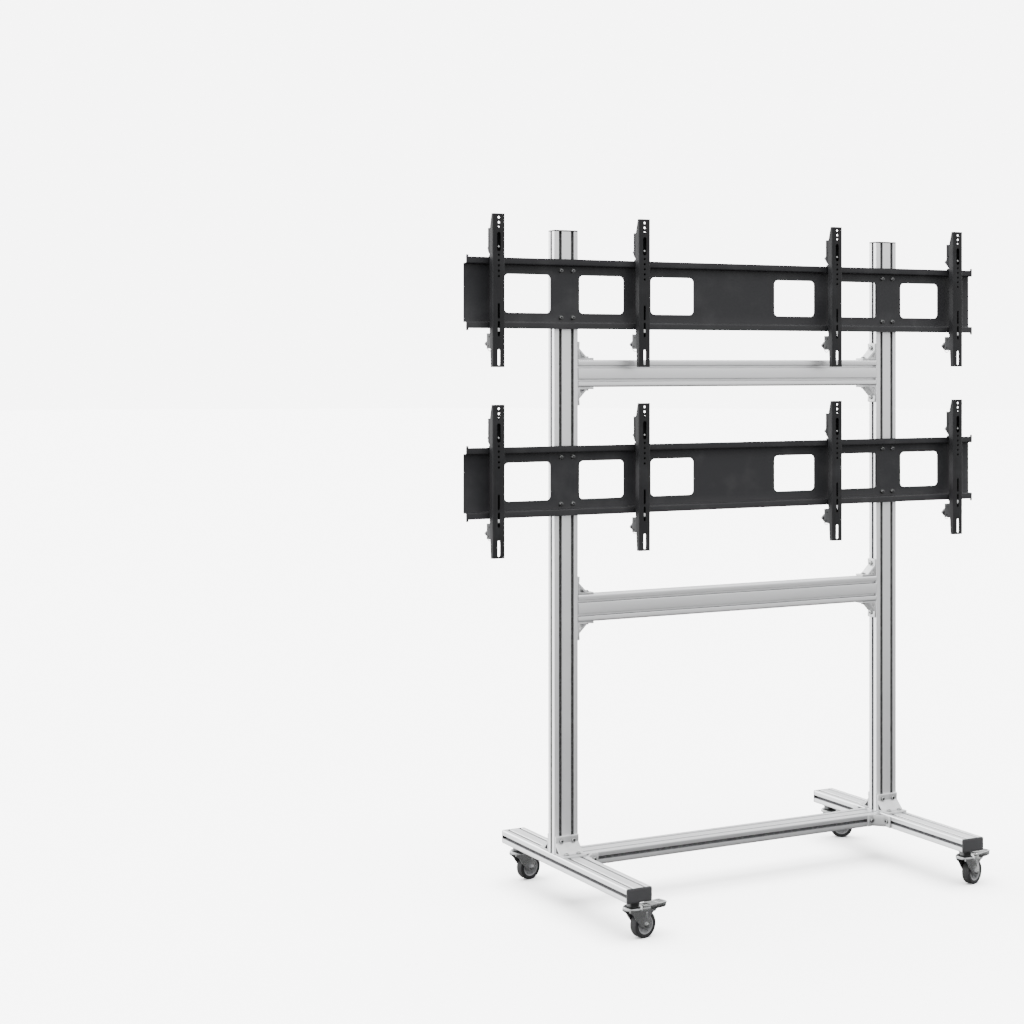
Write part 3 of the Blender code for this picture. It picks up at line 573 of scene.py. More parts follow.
class Form:
    """A mesh being shaped. Two forms add up to one that holds both."""

    def __init__(self, mesh: bpy.types.Mesh) -> None:
        """Take over a mesh."""
        self.mesh = mesh

    def __add__(self, other: "Form") -> "Form":
        """Both forms in one mesh."""
        return Form.gather((self, other))

    @staticmethod
    def gather(forms: Iterable["Form"]) -> "Form":
        """All forms in one mesh.

        Args:
            forms: Forms to put together.

        Returns:
            The form that holds them all.
        """
        bm = bmesh.new()
        for form in forms:
            bm.from_mesh(form.mesh)
        return Form.from_bmesh(bm)

    @staticmethod
    def from_bmesh(bm: bmesh.types.BMesh) -> "Form":
        """Turn a working mesh into a form and free it.

        Args:
            bm: Working mesh.

        Returns:
            The form.
        """
        mesh = bpy.data.meshes.new("form")
        bm.to_mesh(mesh)
        bm.free()
        return Form(mesh)

    @staticmethod
    def evaluated(data: bpy.types.ID, modify: Iterable[tuple[str, dict]] = ()) -> "Form":
        """Mesh of a curve or mesh after some modifiers, welded and with its faces turned out.

        Args:
            data: Curve or mesh.
            modify: Modifier types with their settings.

        Returns:
            The finished form.
        """
        guide = bpy.data.objects.new("guide", data)
        bpy.context.scene.collection.objects.link(guide)
        for kind, settings in modify:
            step = guide.modifiers.new(kind.lower(), kind)
            for key, value in settings.items():
                setattr(step, key, value)
        bpy.context.view_layer.update()
        mesh = bpy.data.meshes.new_from_object(guide.evaluated_get(bpy.context.evaluated_depsgraph_get()))
        bpy.data.objects.remove(guide, do_unlink=True)
        bm = bmesh.new()
        bm.from_mesh(mesh)
        bmesh.ops.remove_doubles(bm, verts=bm.verts, dist=WELD)
        bmesh.ops.recalc_face_normals(bm, faces=bm.faces)
        bm.to_mesh(mesh)
        bm.free()
        return Form(mesh)

    @staticmethod
    def plate(loops: Sequence[Loop], depth: float, start: float | None = None, edge: float = 0.0) -> "Form":
        """Flat outline with holes, thick along Z.

        Args:
            loops: Outer loop and the loops of its holes.
            depth: Thickness.
            start: Height of the lower face, or None to centre it.
            edge: Radius of the rounded edges.

        Returns:
            The plate.
        """
        curve = bpy.data.curves.new("outline", "CURVE")
        curve.dimensions, curve.fill_mode = "2D", "BOTH"
        curve.extrude, curve.bevel_depth, curve.offset = depth / 2 - edge, edge, -edge
        curve.bevel_resolution = 1
        for loop in loops:
            spline = curve.splines.new("POLY")
            spline.points.add(len(loop) - 1)
            for point, (x, y) in zip(spline.points, loop):
                point.co = (x, y, 0.0, 1.0)
            spline.use_cyclic_u = True
        lift = 0.0 if start is None else start + depth / 2
        return Form.evaluated(curve).at(Matrix.Translation((0, 0, lift)))

    @staticmethod
    def turned(profile: Loop, steps: int = 40) -> "Form":
        """Closed profile of (radius, height) points turned about Z.

        Args:
            profile: Points of the profile; one that starts and ends on the axis is left open there.
            steps: Facets around.

        Returns:
            The turned form.
        """
        mesh = bpy.data.meshes.new("profile")
        count = len(profile)
        edges = [(i, i + 1) for i in range(count - 1)]
        if min(r for r, _ in profile) > 0:
            edges.append((count - 1, 0))
        mesh.from_pydata([(r, 0.0, z) for r, z in profile], edges, [])
        return Form.evaluated(mesh, [("SCREW", {
            "steps": steps, "render_steps": steps, "use_merge_vertices": True, "merge_threshold": WELD})])

    @staticmethod
    def rod(start: Sequence[float], end: Sequence[float], radius: float, edge: float = 0.0,
            steps: int = 24) -> "Form":
        """Round bar between two points, with its end edges broken.

        Args:
            start: Middle of one end.
            end: Middle of the other end.
            radius: Radius.
            edge: Size of the broken edges.
            steps: Facets around.

        Returns:
            The bar.
        """
        start, end = Vector(start), Vector(end)
        reach = (end - start).length
        profile = [(0.0, 0.0), (radius - edge, 0.0), (radius, edge), (radius, reach - edge),
                   (radius - edge, reach), (0.0, reach)]
        turn = (end - start).to_track_quat("Z", "Y").to_matrix().to_4x4()
        return Form.turned(profile, steps).at(Matrix.Translation(start) @ turn)

    @staticmethod
    def wire(points: Sequence[Sequence[float]], radius: float) -> "Form":
        """Round wire along a smooth path through some points.

        Args:
            points: Points on the path.
            radius: Radius of the wire.

        Returns:
            The wire.
        """
        curve = bpy.data.curves.new("wire", "CURVE")
        curve.dimensions = "3D"
        curve.bevel_depth, curve.bevel_resolution, curve.use_fill_caps = radius, 3, True
        curve.resolution_u = 6
        spline = curve.splines.new("BEZIER")
        spline.bezier_points.add(len(points) - 1)
        for knot, co in zip(spline.bezier_points, points):
            knot.co = co
            knot.handle_left_type = knot.handle_right_type = "AUTO"
        return Form.evaluated(curve)

    @staticmethod
    def block(low: Sequence[float], high: Sequence[float], edge: float = 0.0) -> "Form":
        """Box between two corners with rounded edges.

        Args:
            low: Corner with the least values.
            high: Corner with the greatest values.
            edge: Radius of the rounded edges.

        Returns:
            The box.
        """
        size, centre = Vector(high) - Vector(low), (Vector(high) + Vector(low)) / 2
        outline = Draw.box((0, 0), size.x, size.y, max(edge, LEAST_RADIUS), 2)
        return Form.plate([outline], size.z, edge=edge).at(Matrix.Translation(centre))

    def at(self, place: Matrix) -> "Form":
        """The form moved, with its faces kept outwards when it is mirrored.

        Args:
            place: Where to move it.

        Returns:
            The moved copy.
        """
        mesh = self.mesh.copy()
        mesh.transform(place)
        if place.determinant() < 0:
            mesh.flip_normals()
        return Form(mesh)

    def cut(self, tool: "Form") -> "Form":
        """Cut a tool out of the form.

        Args:
            tool: Form to take away.

        Returns:
            What is left of the form.
        """
        other = bpy.data.objects.new("tool", tool.mesh)
        bpy.context.scene.collection.objects.link(other)
        result = Form.evaluated(self.mesh, [("BOOLEAN", {"operation": "DIFFERENCE", "object": other})])
        bpy.data.objects.remove(other, do_unlink=True)
        return result

    def pair(self, shift: float) -> "Form":
        """The form twice, moved by a distance to either side along Y."""
        return Form.gather(self.at(Matrix.Translation((0, side * shift, 0))) for side in (-1, 1))

    def softened(self, width: float, steps: int = 2) -> "Form":
        """The form with its sharp edges rounded."""
        return Form.evaluated(self.mesh, [("BEVEL", {
            "width": width, "segments": steps, "limit_method": "ANGLE", "angle_limit": BEVEL_ANGLE})])


class Workshop:
    """Fits finished pieces to the model's bodies and reports them."""

    def __init__(self) -> None:
        """Make the materials and a collection for the pieces."""
        self.materials = {finish: finish.value.material(finish.name.lower()) for finish in Finish}
        self.pieces = bpy.data.collections.new("pieces")
        bpy.context.scene.collection.children.link(self.pieces)

    def fit(self, name: str, form: Form, finish: Finish, body: str, node: str | None = None,
            second: Finish | None = None, slot: str | None = None) -> bpy.types.Object:
        """Put a piece in the scene.

        Args:
            name: Name of the piece.
            form: Its shape, in the model's frame.
            finish: Its finish.
            body: Body that it rides on.
            node: CAD node that it stands for, if any.
            second: Finish of the faces with material index 1.
            slot: Material slot of the record; not used.

        Returns:
            The new object.
        """
        mesh = form.mesh.copy()
        mesh.name = name
        for used in (finish, second):
            if used is not None:
                mesh.materials.append(self.materials[used])
        mesh.shade_smooth()
        mesh.set_sharp_from_angle(angle=SHARP_ANGLE)
        piece = bpy.data.objects.new(name, mesh)
        self.pieces.objects.link(piece)
        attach(piece, body)
        if node is not None:
            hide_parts(node)
        slot or f"{node}_finish"
        log.info("%s rides on %s with %d faces", name, body, len(mesh.polygons))
        return piece

    def fit_parts(self, node: str, parts: Sequence[tuple[str, Form, Finish]], place: Matrix,
                  body: str) -> None:
        """Fit the parts of a CAD node, of which the first stands for the node itself.

        Args:
            node: Name of the node, from which the pieces take theirs.
            parts: Name, shape and finish of each part.
            place: Where the parts stand.
            body: Body that they ride on.
        """
        for i, (part, form, finish) in enumerate(parts):
            self.fit(f"{node}_{part}", form.at(place), finish, body, None if i else node,
                     slot=f"{node}_finish")


def middle(node: str) -> Vector:
    """Centre of a CAD node's box."""
    low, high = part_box(node)
    return (Vector(low) + Vector(high)) / 2


@dataclass(frozen=True)
class SocketBolt:
    """Button-head socket bolt with its washer."""

    head_radius: float = 0.0063
    head_height: float = 0.0054
    socket_radius: float = 0.0029
    socket_depth: float = 0.0032
    washer_radius: float = 0.0072
    washer_thick: float = 0.0009
    dome_share: float = 0.72
    throat_share: float = 1.04
    collar_share: float = 1.08
    finish: Finish = Finish.BOLT

    def head(self) -> Form:
        """Head and washer standing on Z 0.

        Returns:
            The two in one form, with the hexagon left open.
        """
        r, h, rim = self.head_radius, self.head_height, self.head_radius * self.dome_share
        base = h - self.socket_depth
        throat = self.socket_radius * self.throat_share
        dome = Form.turned([(throat, h), (rim, h), (rim + 0.0008, h - 0.0003), (r, h - 0.0016),
                            (r, self.washer_thick), (throat, base - 0.0004)], 24)
        collar = Form.plate([Draw.circle((0, 0), self.socket_radius * self.collar_share),
                             Draw.circle((0, 0), self.socket_radius, 6)], self.socket_depth - 0.0002, base)
        washer = Form.rod((0, 0, 0), (0, 0, self.washer_thick), self.washer_radius, 0.0002)
        return dome + collar + washer

    def recess(self) -> Form:
        """Dark disc at the floor of the socket, painted shade for the shadow in it."""
        level = self.head_height - self.socket_depth
        return Form.rod((0, 0, 0.001), (0, 0, level), self.socket_radius * 1.02)

    @staticmethod
    def place(at: Sequence[float], out: Sequence[float]) -> Matrix:
        """Placement of a bolt on a face at a point."""
        turn = Vector(out).to_track_quat("Z", "Y").to_matrix().to_4x4()
        return Matrix.Translation(Vector(at)) @ turn

    def fit_all(self, shop: Workshop, name: str, spots: Iterable[tuple], body: str, slot: str) -> None:
        """Fit a set of bolts as one piece, and the painted shade of their sockets as another.

        Args:
            shop: Workshop that fits the pieces.
            name: Name for the set.
            spots: Points with outward directions.
            body: Body that they ride on.
            slot: Material slot of the record.
        """
        places = [self.place(*spot) for spot in spots]
        head, recess = self.head(), self.recess()
        shop.fit(name, Form.gather(head.at(p) for p in places), self.finish, body, slot=slot)
        # the dark discs in the sockets are painted shade
        shop.fit(f"{name}_sockets", Form.gather(recess.at(p) for p in places), Finish.SOCKET, body, slot=slot)


@dataclass(frozen=True)
class Profile:
    """Slotted aluminium profile."""

    module: float = 0.040
    corner: float = 0.0045
    mouth: float = 0.008
    mouth_bevel: float = 0.0010
    flank: float = 0.0075
    flank_drop: float = 0.0003
    lip: float = 0.0042
    chamber: float = 0.0200
    chamber_wall: float = 0.0012
    floor: float = 0.0075
    depth: float = 0.0125
    inside: float = 0.99

    def notch(self) -> list[Point]:
        """One slot of the profile.

        Returns:
            Its (across, depth) points from lip to lip.
        """
        m, c, f = self.mouth / 2, self.chamber / 2, self.floor / 2
        half = [(m + self.flank, 0.0), (m + self.mouth_bevel, self.flank_drop),
                (m, self.flank_drop + self.mouth_bevel), (m, self.lip), (c, self.lip),
                (c, self.lip + self.chamber_wall), (f, self.depth)]
        return [(-a, d) for a, d in half] + list(reversed(half))

    def outline(self, wide: float, tall: float) -> list[Point]:
        """Section with a slot in the middle of each module of each side.

        Args:
            wide: Size along the first axis.
            tall: Size along the second axis.

        Returns:
            The loop, anticlockwise.
        """
        points: list[Point] = []
        for axis, half, span in ((Vector((1, 0)), wide / 2, tall), (Vector((0, 1)), tall / 2, wide),
                                 (Vector((-1, 0)), wide / 2, tall), (Vector((0, -1)), tall / 2, wide)):
            along = Vector((-axis.y, axis.x))
            for i in range(round(span / self.module)):
                centre = axis * half + along * ((i + 0.5) * self.module - span / 2)
                points += [tuple(centre + along * a - axis * d) for a, d in self.notch()]
            corner = axis * (half - self.corner) + along * (span / 2 - self.corner)
            start = math.degrees(math.atan2(axis.y, axis.x))
            points += Draw.arc(tuple(corner), self.corner, start, start + 90, 6)
        return points

    def bar(self, length: float, wide: float, tall: float, darkened: tuple[bool, bool]) -> Form:
        """Bar along Z from its end at 0, with material index 1 where its slots get painted shade.

        Args:
            length: Length of the bar.
            wide: Size of its section along X.
            tall: Size of its section along Y.
            darkened: Whether the slots facing X and those facing Y get painted shade from the lips on, and
                not only
            in the hollows behind them.

        Returns:
            The bar.
        """
        form = Form.plate([self.outline(wide, tall)], length, 0.0)
        # faces in the slots' hollows, or from the lips on where asked, get material index 1, the painted
        # shade
        hollow = (self.lip * self.inside, self.depth * self.inside)
        for face in form.mesh.polygons:
            x, y, _ = face.center
            sunk, whole = min(zip((wide / 2 - abs(x), tall / 2 - abs(y)), darkened))
            first, last = (self.flank_drop, self.module) if whole else hollow
            wall = abs(face.normal.z) < 0.5 and first < sunk < last
            face.material_index = int(wall and not self.on_corner(x, y, wide, tall))
        return form

    def on_corner(self, x: float, y: float, wide: float, tall: float) -> bool:
        """Whether a point of the section lies on one of its round corners."""
        return abs(x) > wide / 2 - self.corner and abs(y) > tall / 2 - self.corner


@dataclass(frozen=True)
class FrameBars:
    """The straight bars and end caps of the frame."""

    profile: Profile = Profile()
    wide: float = 0.080
    tall: float = 0.040
    cap_border: float = 0.0025
    cap_step: float = 0.0006
    cap_edge: float = 0.0008
    panel_radius: float = 0.003
    panel_edge: float = 0.0003

    def build(self, shop: Workshop) -> None:
        """Fit posts, feet, crossbars and caps.

        Args:
            shop: Workshop that fits the pieces.
        """
        # painted shade from the lips on: posts in all their slots, feet in their narrow sides' slots,
        # crossbars only in the hollows
        for side, _ in SIDES:
            # the posts take the lighter copy of the aluminium, painted light
            self.fit_bar(shop, f"post_{side}", Finish.BAR_Z, (True, True))
            self.fit_bar(shop, f"foot_{side}", Finish.BAR_Y, (True, False))
            self.fit_cap(shop, f"post_cap_{side}", Matrix.Identity(4))
            self.fit_cap(shop, f"foot_cap_front_{side}", STAND_UP)
            self.fit_cap(shop, f"foot_cap_rear_{side}", ALONG_Y)
        for level in LEVELS:
            self.fit_bar(shop, f"crossbar_{level}", Finish.BAR_X, (False, False))
        self.fit_base(shop)

    def fit_bar(self, shop: Workshop, node: str, finish: Finish, darkened: tuple[bool, bool]) -> None:
        """Fit one bar in the box of its CAD node.

        Args:
            shop: Workshop that fits the pieces.
            node: Name of the node.
            finish: Finish, which also says along which axis the bar lies.
            darkened: Whether the slots of its narrow sides and those of its wide sides get painted shade from
                the lips on.
        """
        low, high = (Vector(corner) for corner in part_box(node))
        size, centre = high - low, (low + high) / 2
        length, start, turn = {
            Finish.BAR_X: (size.x, (low.x, centre.y, centre.z), ALONG_X),
            Finish.BAR_Y: (size.y, (centre.x, low.y, centre.z), ALONG_Y),
            Finish.BAR_Z: (size.z, (centre.x, centre.y, low.z), Matrix.Identity(4))}[finish]
        form = self.profile.bar(length, self.wide, self.tall, darkened).at(Matrix.Translation(start) @ turn)
        shop.fit(f"{node}_bar", form, finish, "frame", node, Finish.SLOT)

    def fit_cap(self, shop: Workshop, node: str, turn: Matrix) -> None:
        """Fit a moulded end cap with a panel that stands a little out of its rim.

        Args:
            shop: Workshop that fits the pieces.
            node: Name of the cap's CAD node.
            turn: Turn from flat to its place.
        """
        thick = min(h - l for l, h in zip(*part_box(node)))
        rim = Draw.box((0, 0), self.wide, self.tall, self.profile.corner)
        inner = Draw.box((0, 0), self.wide - 2 * self.cap_border, self.tall - 2 * self.cap_border,
                         self.panel_radius)
        body = Form.plate([rim], thick - self.cap_step, edge=self.cap_edge)
        body = body.at(Matrix.Translation((0, 0, -self.cap_step / 2)))
        panel = Form.plate([inner], thick, edge=self.panel_edge)
        shop.fit(f"{node}_moulding", (body + panel).at(Matrix.Translation(middle(node)) @ turn), Finish.CAP,
                 "frame", node)

    def fit_base(self, shop: Workshop) -> None:
        """Fit the bar between the feet with its four small brackets.

        Args:
            shop: Workshop that fits the pieces.
        """
        low, high = (Vector(corner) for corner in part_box("base_crossbar"))
        centre = (low + high) / 2
        # painted shade from the lips on in the slots of the bar's narrow sides, and in all the hollows
        bar = self.profile.bar(high.x - low.x, self.tall, self.wide, (False, True)).at(ALONG_X)
        # the darker copy of the aluminium on this bar is painted shade
        shop.fit("base_crossbar_bar", bar.at(Matrix.Translation((low.x, centre.y, centre.z))),
                 Finish.BAR_LOW, "frame", "base_crossbar", Finish.SLOT)
        small = AngleBracket(bolt_offsets=(0.0,))
        for side, sign in SIDES:
            for end, way in ENDS:
                corner = (low.x if sign < 0 else high.x, centre.y + way * (self.wide / 2), centre.z)
                small.fit(shop, f"base_bracket_{end}_{side}", corner, (-sign, 0, 0), (0, way, 0), None,
                          "base_crossbar_finish")


@dataclass(frozen=True)
class AngleBracket:
    """Cast angle bracket with a sloping plate over its corner."""

    bolt_offsets: tuple[float, ...]
    wide: float = 0.036
    leg: float = 0.053
    wall: float = 0.005
    tip: float = 0.006
    tip_radius: float = 0.002
    edge: float = 0.0009
    rib: float = 0.026
    bolt_at: float = 0.0385
    relief: float = 0.0092
    relief_reach: float = 0.03
    bolt: SocketBolt = SocketBolt()

    def form(self) -> Form:
        """Bracket with its legs along +X and +Y, wide about Z.

        Returns:
            The casting, relieved round its bolts.
        """
        slope, r = self.wall * math.sqrt(2), self.tip_radius
        outer = [(0, 0), (self.leg, 0), *Draw.arc((self.leg - r, self.tip - r), r, 0, 90, 3),
                 (self.rib + slope, self.wall), (self.wall, self.rib + slope),
                 *Draw.arc((self.tip - r, self.leg - r), r, 0, 90, 3), (0, self.leg)]
        hollow = [(self.wall, self.wall), (self.rib, self.wall), (self.wall, self.rib)]
        cast = Form.plate([outer, hollow], self.wide, edge=self.edge)
        drills = [Form.rod(at, Vector(at) + Vector(out) * self.relief_reach, self.relief)
                  for at, out in self.spots()]
        return cast.cut(Form.gather(drills))

    def spots(self) -> list[tuple[tuple[float, float, float], tuple[int, int, int]]]:
        """Where the bolts stand on the legs, with their directions."""
        return [spot for offset in self.bolt_offsets for spot in (
            ((self.bolt_at, self.wall, offset), (0, 1, 0)), ((self.wall, self.bolt_at, offset), (1, 0, 0)))]

    def fit(self, shop: Workshop, name: str, corner: Sequence[float], first: Sequence[float],
            second: Sequence[float], node: str | None, slot: str) -> None:
        """Fit the bracket and its bolts in a corner.

        Args:
            shop: Workshop that fits the pieces.
            name: Name of the bracket.
            corner: Inner corner of the two faces that it joins.
            first: Direction of one leg.
            second: Direction of the other leg.
            node: CAD node that it stands for, if any.
            slot: Material slot of the record.
        """
        a, b = Vector(first), Vector(second)
        place = Matrix.Translation(Vector(corner)) @ Matrix((a, b, a.cross(b))).transposed().to_4x4()
        shop.fit(f"{name}_casting", self.form().at(place), Finish.CAST, "frame", node, slot=slot)
        spots = [(place @ Vector(at), place.to_3x3() @ Vector(out)) for at, out in self.spots()]
        self.bolt.fit_all(shop, f"{name}_bolts", spots, "frame", slot)


@dataclass(frozen=True)
class FrameBrackets:
    """The brackets that are nodes of their own."""

    large: AngleBracket = AngleBracket((-0.020, 0.020), wide=0.076)
    small: AngleBracket = AngleBracket((0.0,))

    def build(self, shop: Workshop) -> None:
        """Fit brackets at the feet and at the crossbars' ends.

        Args:
            shop: Workshop that fits the pieces.
        """
        for side, sign in SIDES:
            for end, way in ENDS:
                node = f"foot_bracket_{end}_{side}"
                low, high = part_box(node)
                corner = ((low[0] + high[0]) / 2, high[1] if way < 0 else low[1], low[2])
                self.large.fit(shop, node, corner, (0, 0, 1), (0, way, 0), node, f"{node}_finish")
            for level in LEVELS:
                for spot, up in (("top", 1), ("under", -1)):
                    node = f"crossbar_bracket_{level}_{spot}_{side}"
                    low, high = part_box(node)
                    corner = (low[0] if sign < 0 else high[0], (low[1] + high[1]) / 2,
                              low[2] if up > 0 else high[2])
                    self.small.fit(shop, node, corner, (-sign, 0, 0), (0, 0, up), node, f"{node}_finish")


@dataclass(frozen=True)
class DisplayRail:
    """Pressed rail with windows, lips, end stops, post cheeks and bolts."""

    length: float = 1.842
    height: float = 0.203
    web: float = 0.169
    depth: float = 0.0202
    sheet: float = 0.0025
    bend: float = 0.0040
    # width, height and corner of a window
    window: tuple[float, float, float] = (0.1515, 0.111, 0.013)
    window_centres: tuple[float, ...] = (0.2240, 0.4693, 0.7155)
    stop_wide: float = 0.007
    stop_rise: float = 0.006
    stop_lap: float = 0.002
    bolt_spread: float = 0.1365
    cheek_sheet: float = 0.003
    ear_radius: float = 0.0125
    ear_height: float = 0.083
    neck: float = 0.0045
    # hollow of a cheek below the ear, in radii of the ear: out, down
    waist: tuple[Point, ...] = ((0.25, 2.0), (0.0, 2.8))
    edge: float = 0.0004
    post_gap: float = 0.0003
    bolt: SocketBolt = SocketBolt(finish=Finish.BLACK_BOLT)

    def section(self) -> list[Point]:
        """Hat section of the rail.

        Returns:
            Its (Y, Z) points, with the flat web at the back and the lips in front.
        """
        t, r, back, front = self.sheet, self.bend, 0.0, -self.depth
        web, lip = self.web / 2, self.height / 2
        upper = Draw.arc((back - r, web - r), r, 0, 90, 4)
        upper += Draw.arc((front + r, web + r - t), r - t, 270, 180, 3)
        upper += [(front + t, lip), (front, lip)]
        upper += Draw.arc((front + r, web + r - t), r, 180, 270, 4)
        upper += Draw.arc((back - r, web - r), r - t, 90, 0, 3)
        return upper + [(y, -z) for y, z in reversed(upper)]

    def pressing(self) -> Form:
        """The rail itself.

        Returns:
            The sheet with its windows and end stops.
        """
        base = Form.plate([self.section()], self.length).at(STAND_ASIDE)
        wide, tall, radius = self.window
        windows = [Draw.box((side * x, 0), wide, tall, radius)
                   for x in self.window_centres for side in (-1, 1)]
        cutter = Form.plate(windows, 4 * self.depth).at(STAND_UP)
        sheet = base.cut(cutter).softened(self.edge, 1)
        half, lip, t = self.stop_wide / 2, self.height / 2, self.sheet
        x = self.length / 2 - half
        stop = Form.block((-half, -self.depth, lip - self.stop_lap),
                          (half, t - self.depth, lip + self.stop_rise), self.edge)
        stops = [stop.at(Matrix.Translation((side * x, 0, 0)) @ Matrix.Diagonal((1, 1, up, 1)))
                 for side in (-1, 1) for up in (-1, 1)]
        return Form.gather([sheet, *stops])

    def cheek(self, reach: float) -> Form:
        """Cheek plate in (Y, Z) that clasps a post.

        Args:
            reach: How far the ears stand behind the rail.

        Returns:
            The plate, with two round ears and a hollow between them.
        """
        z, ear = self.ear_height, self.ear_radius
        upper = [(0.0, z + ear)] + Draw.arc((reach, z), ear, 90, -60, 10)
        waist = [(self.neck + ear * out, z - ear * down) for out, down in self.waist]
        lower = [(y, -h) for y, h in reversed(upper[1:] + waist)]
        outline = upper + waist + lower + [(0.0, -z - ear)]
        return Form.plate([outline], self.cheek_sheet, edge=self.edge).at(STAND_ASIDE)

    def build(self, shop: Workshop) -> None:
        """Fit both rails.

        Args:
            shop: Workshop that fits the pieces.
        """
        post_low, post_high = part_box("post_right")
        back, post_x = post_low[1] - self.post_gap, (post_low[0] + post_high[0]) / 2
        half, reach = (post_high[0] - post_low[0]) / 2, (post_high[1] - post_low[1]) / 2
        pressing, cheek = self.pressing(), self.cheek(reach)
        for level in LEVELS:
            node = f"rail_{level}"
            place = Matrix.Translation((0, back, middle(node).z))
            cheeks, front_spots, side_spots = [], [], []
            for _, sign in SIDES:
                for face in (-1, 1):
                    x = sign * post_x + face * (half + self.post_gap)
                    aside = Matrix.Translation((x + face * self.cheek_sheet / 2, 0, 0))
                    cheeks.append(cheek.at(place @ aside))
                    for up in (-1, 1):
                        front_spots.append((place @ Vector((sign * post_x + face * half / 2, -self.sheet,
                                                            up * self.bolt_spread / 2)), (0, -1, 0)))
                        side_spots.append((place @ Vector((x + face * self.cheek_sheet, reach,
                                                           up * self.ear_height)), (face, 0, 0)))
            shop.fit(f"{node}_pressing", pressing.at(place), Finish.RAIL, "frame", node)
            shop.fit(f"{node}_cheeks", Form.gather(cheeks), Finish.RAIL, "frame", slot=f"{node}_finish")
            self.bolt.fit_all(shop, f"{node}_front_bolts", front_spots, "frame", f"{node}_finish")
            self.bolt.fit_all(shop, f"{node}_side_bolts", side_spots, "frame", f"{node}_finish")


@dataclass(frozen=True)
class DisplayArm:
    """Upright channel that a display is screwed to."""

    length: float = 0.436
    wide: float = 0.038
    depth: float = 0.022
    sheet: float = 0.0025
    bend: float = 0.0030
    tip_depth: float = 0.009
    toe_depth: float = 0.014
    taper_top: float = 0.045
    taper_bottom: float = 0.110
    edge: float = 0.0004
    past: float = 0.002
    hole_radius: float = 0.0035
    # first hole, pitch and number of holes, from the top
    hole_rows: tuple[tuple[float, float, int], ...] = ((0.0113, 0.0142, 3), (0.1178, 0.0151, 5))
    # start, end and width, from the top
    slots: tuple[tuple[float, float, float], ...] = (
        (0.0532, 0.1075, 0.0120), (0.2548, 0.2987, 0.0070), (0.3052, 0.3488, 0.0070),
        (0.3850, 0.4308, 0.0080))

    def form(self) -> Form:
        """Channel open to the back, its top at Z 0 and its face at Y 0.

        Returns:
            The channel with its holes, slots and tapered ends.
        """
        w, d, t, r = self.wide / 2, self.depth, self.sheet, self.bend
        section = [(w, d), *Draw.arc((w - r, r), r, 0, -90, 4), *Draw.arc((r - w, r), r, 270, 180, 4),
                   (-w, d), (t - w, d), *Draw.arc((r - w, r), r - t, 180, 270, 2),
                   *Draw.arc((w - r, r), r - t, -90, 0, 2), (w - t, d)]
        channel = Form.plate([section], self.length, -self.length)
        holes = [Draw.circle((0, -first - i * pitch), self.hole_radius, 16)
                 for first, pitch, count in self.hole_rows for i in range(count)]
        holes += [Draw.slot(-start, -end, wide) for start, end, wide in self.slots]
        drill = Form.plate(holes, 4 * t).at(STAND_UP)
        far = self.past
        tip = [(self.tip_depth, far), (d + far, far), (d + far, -self.taper_top), (d, -self.taper_top)]
        toe = [(self.toe_depth, -self.length - far), (d, self.taper_bottom - self.length),
               (d + far, self.taper_bottom - self.length), (d + far, -self.length - far)]
        tapers = Form.plate([tip, toe], self.wide + 4 * far).at(STAND_ASIDE)
        return channel.cut(drill).cut(tapers).softened(self.edge, 1)

    def build(self, shop: Workshop) -> None:
        """Fit all eight arms.

        Args:
            shop: Workshop that fits the pieces.
        """
        form = self.form()
        for level in LEVELS:
            for number in ARMS:
                node = f"display_arm_{level}_{number}"
                low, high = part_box(node)
                place = Matrix.Translation(((low[0] + high[0]) / 2, low[1], high[2]))
                shop.fit(f"{node}_channel", form.at(place), Finish.ARM, f"arm_{level}_{number}", node)


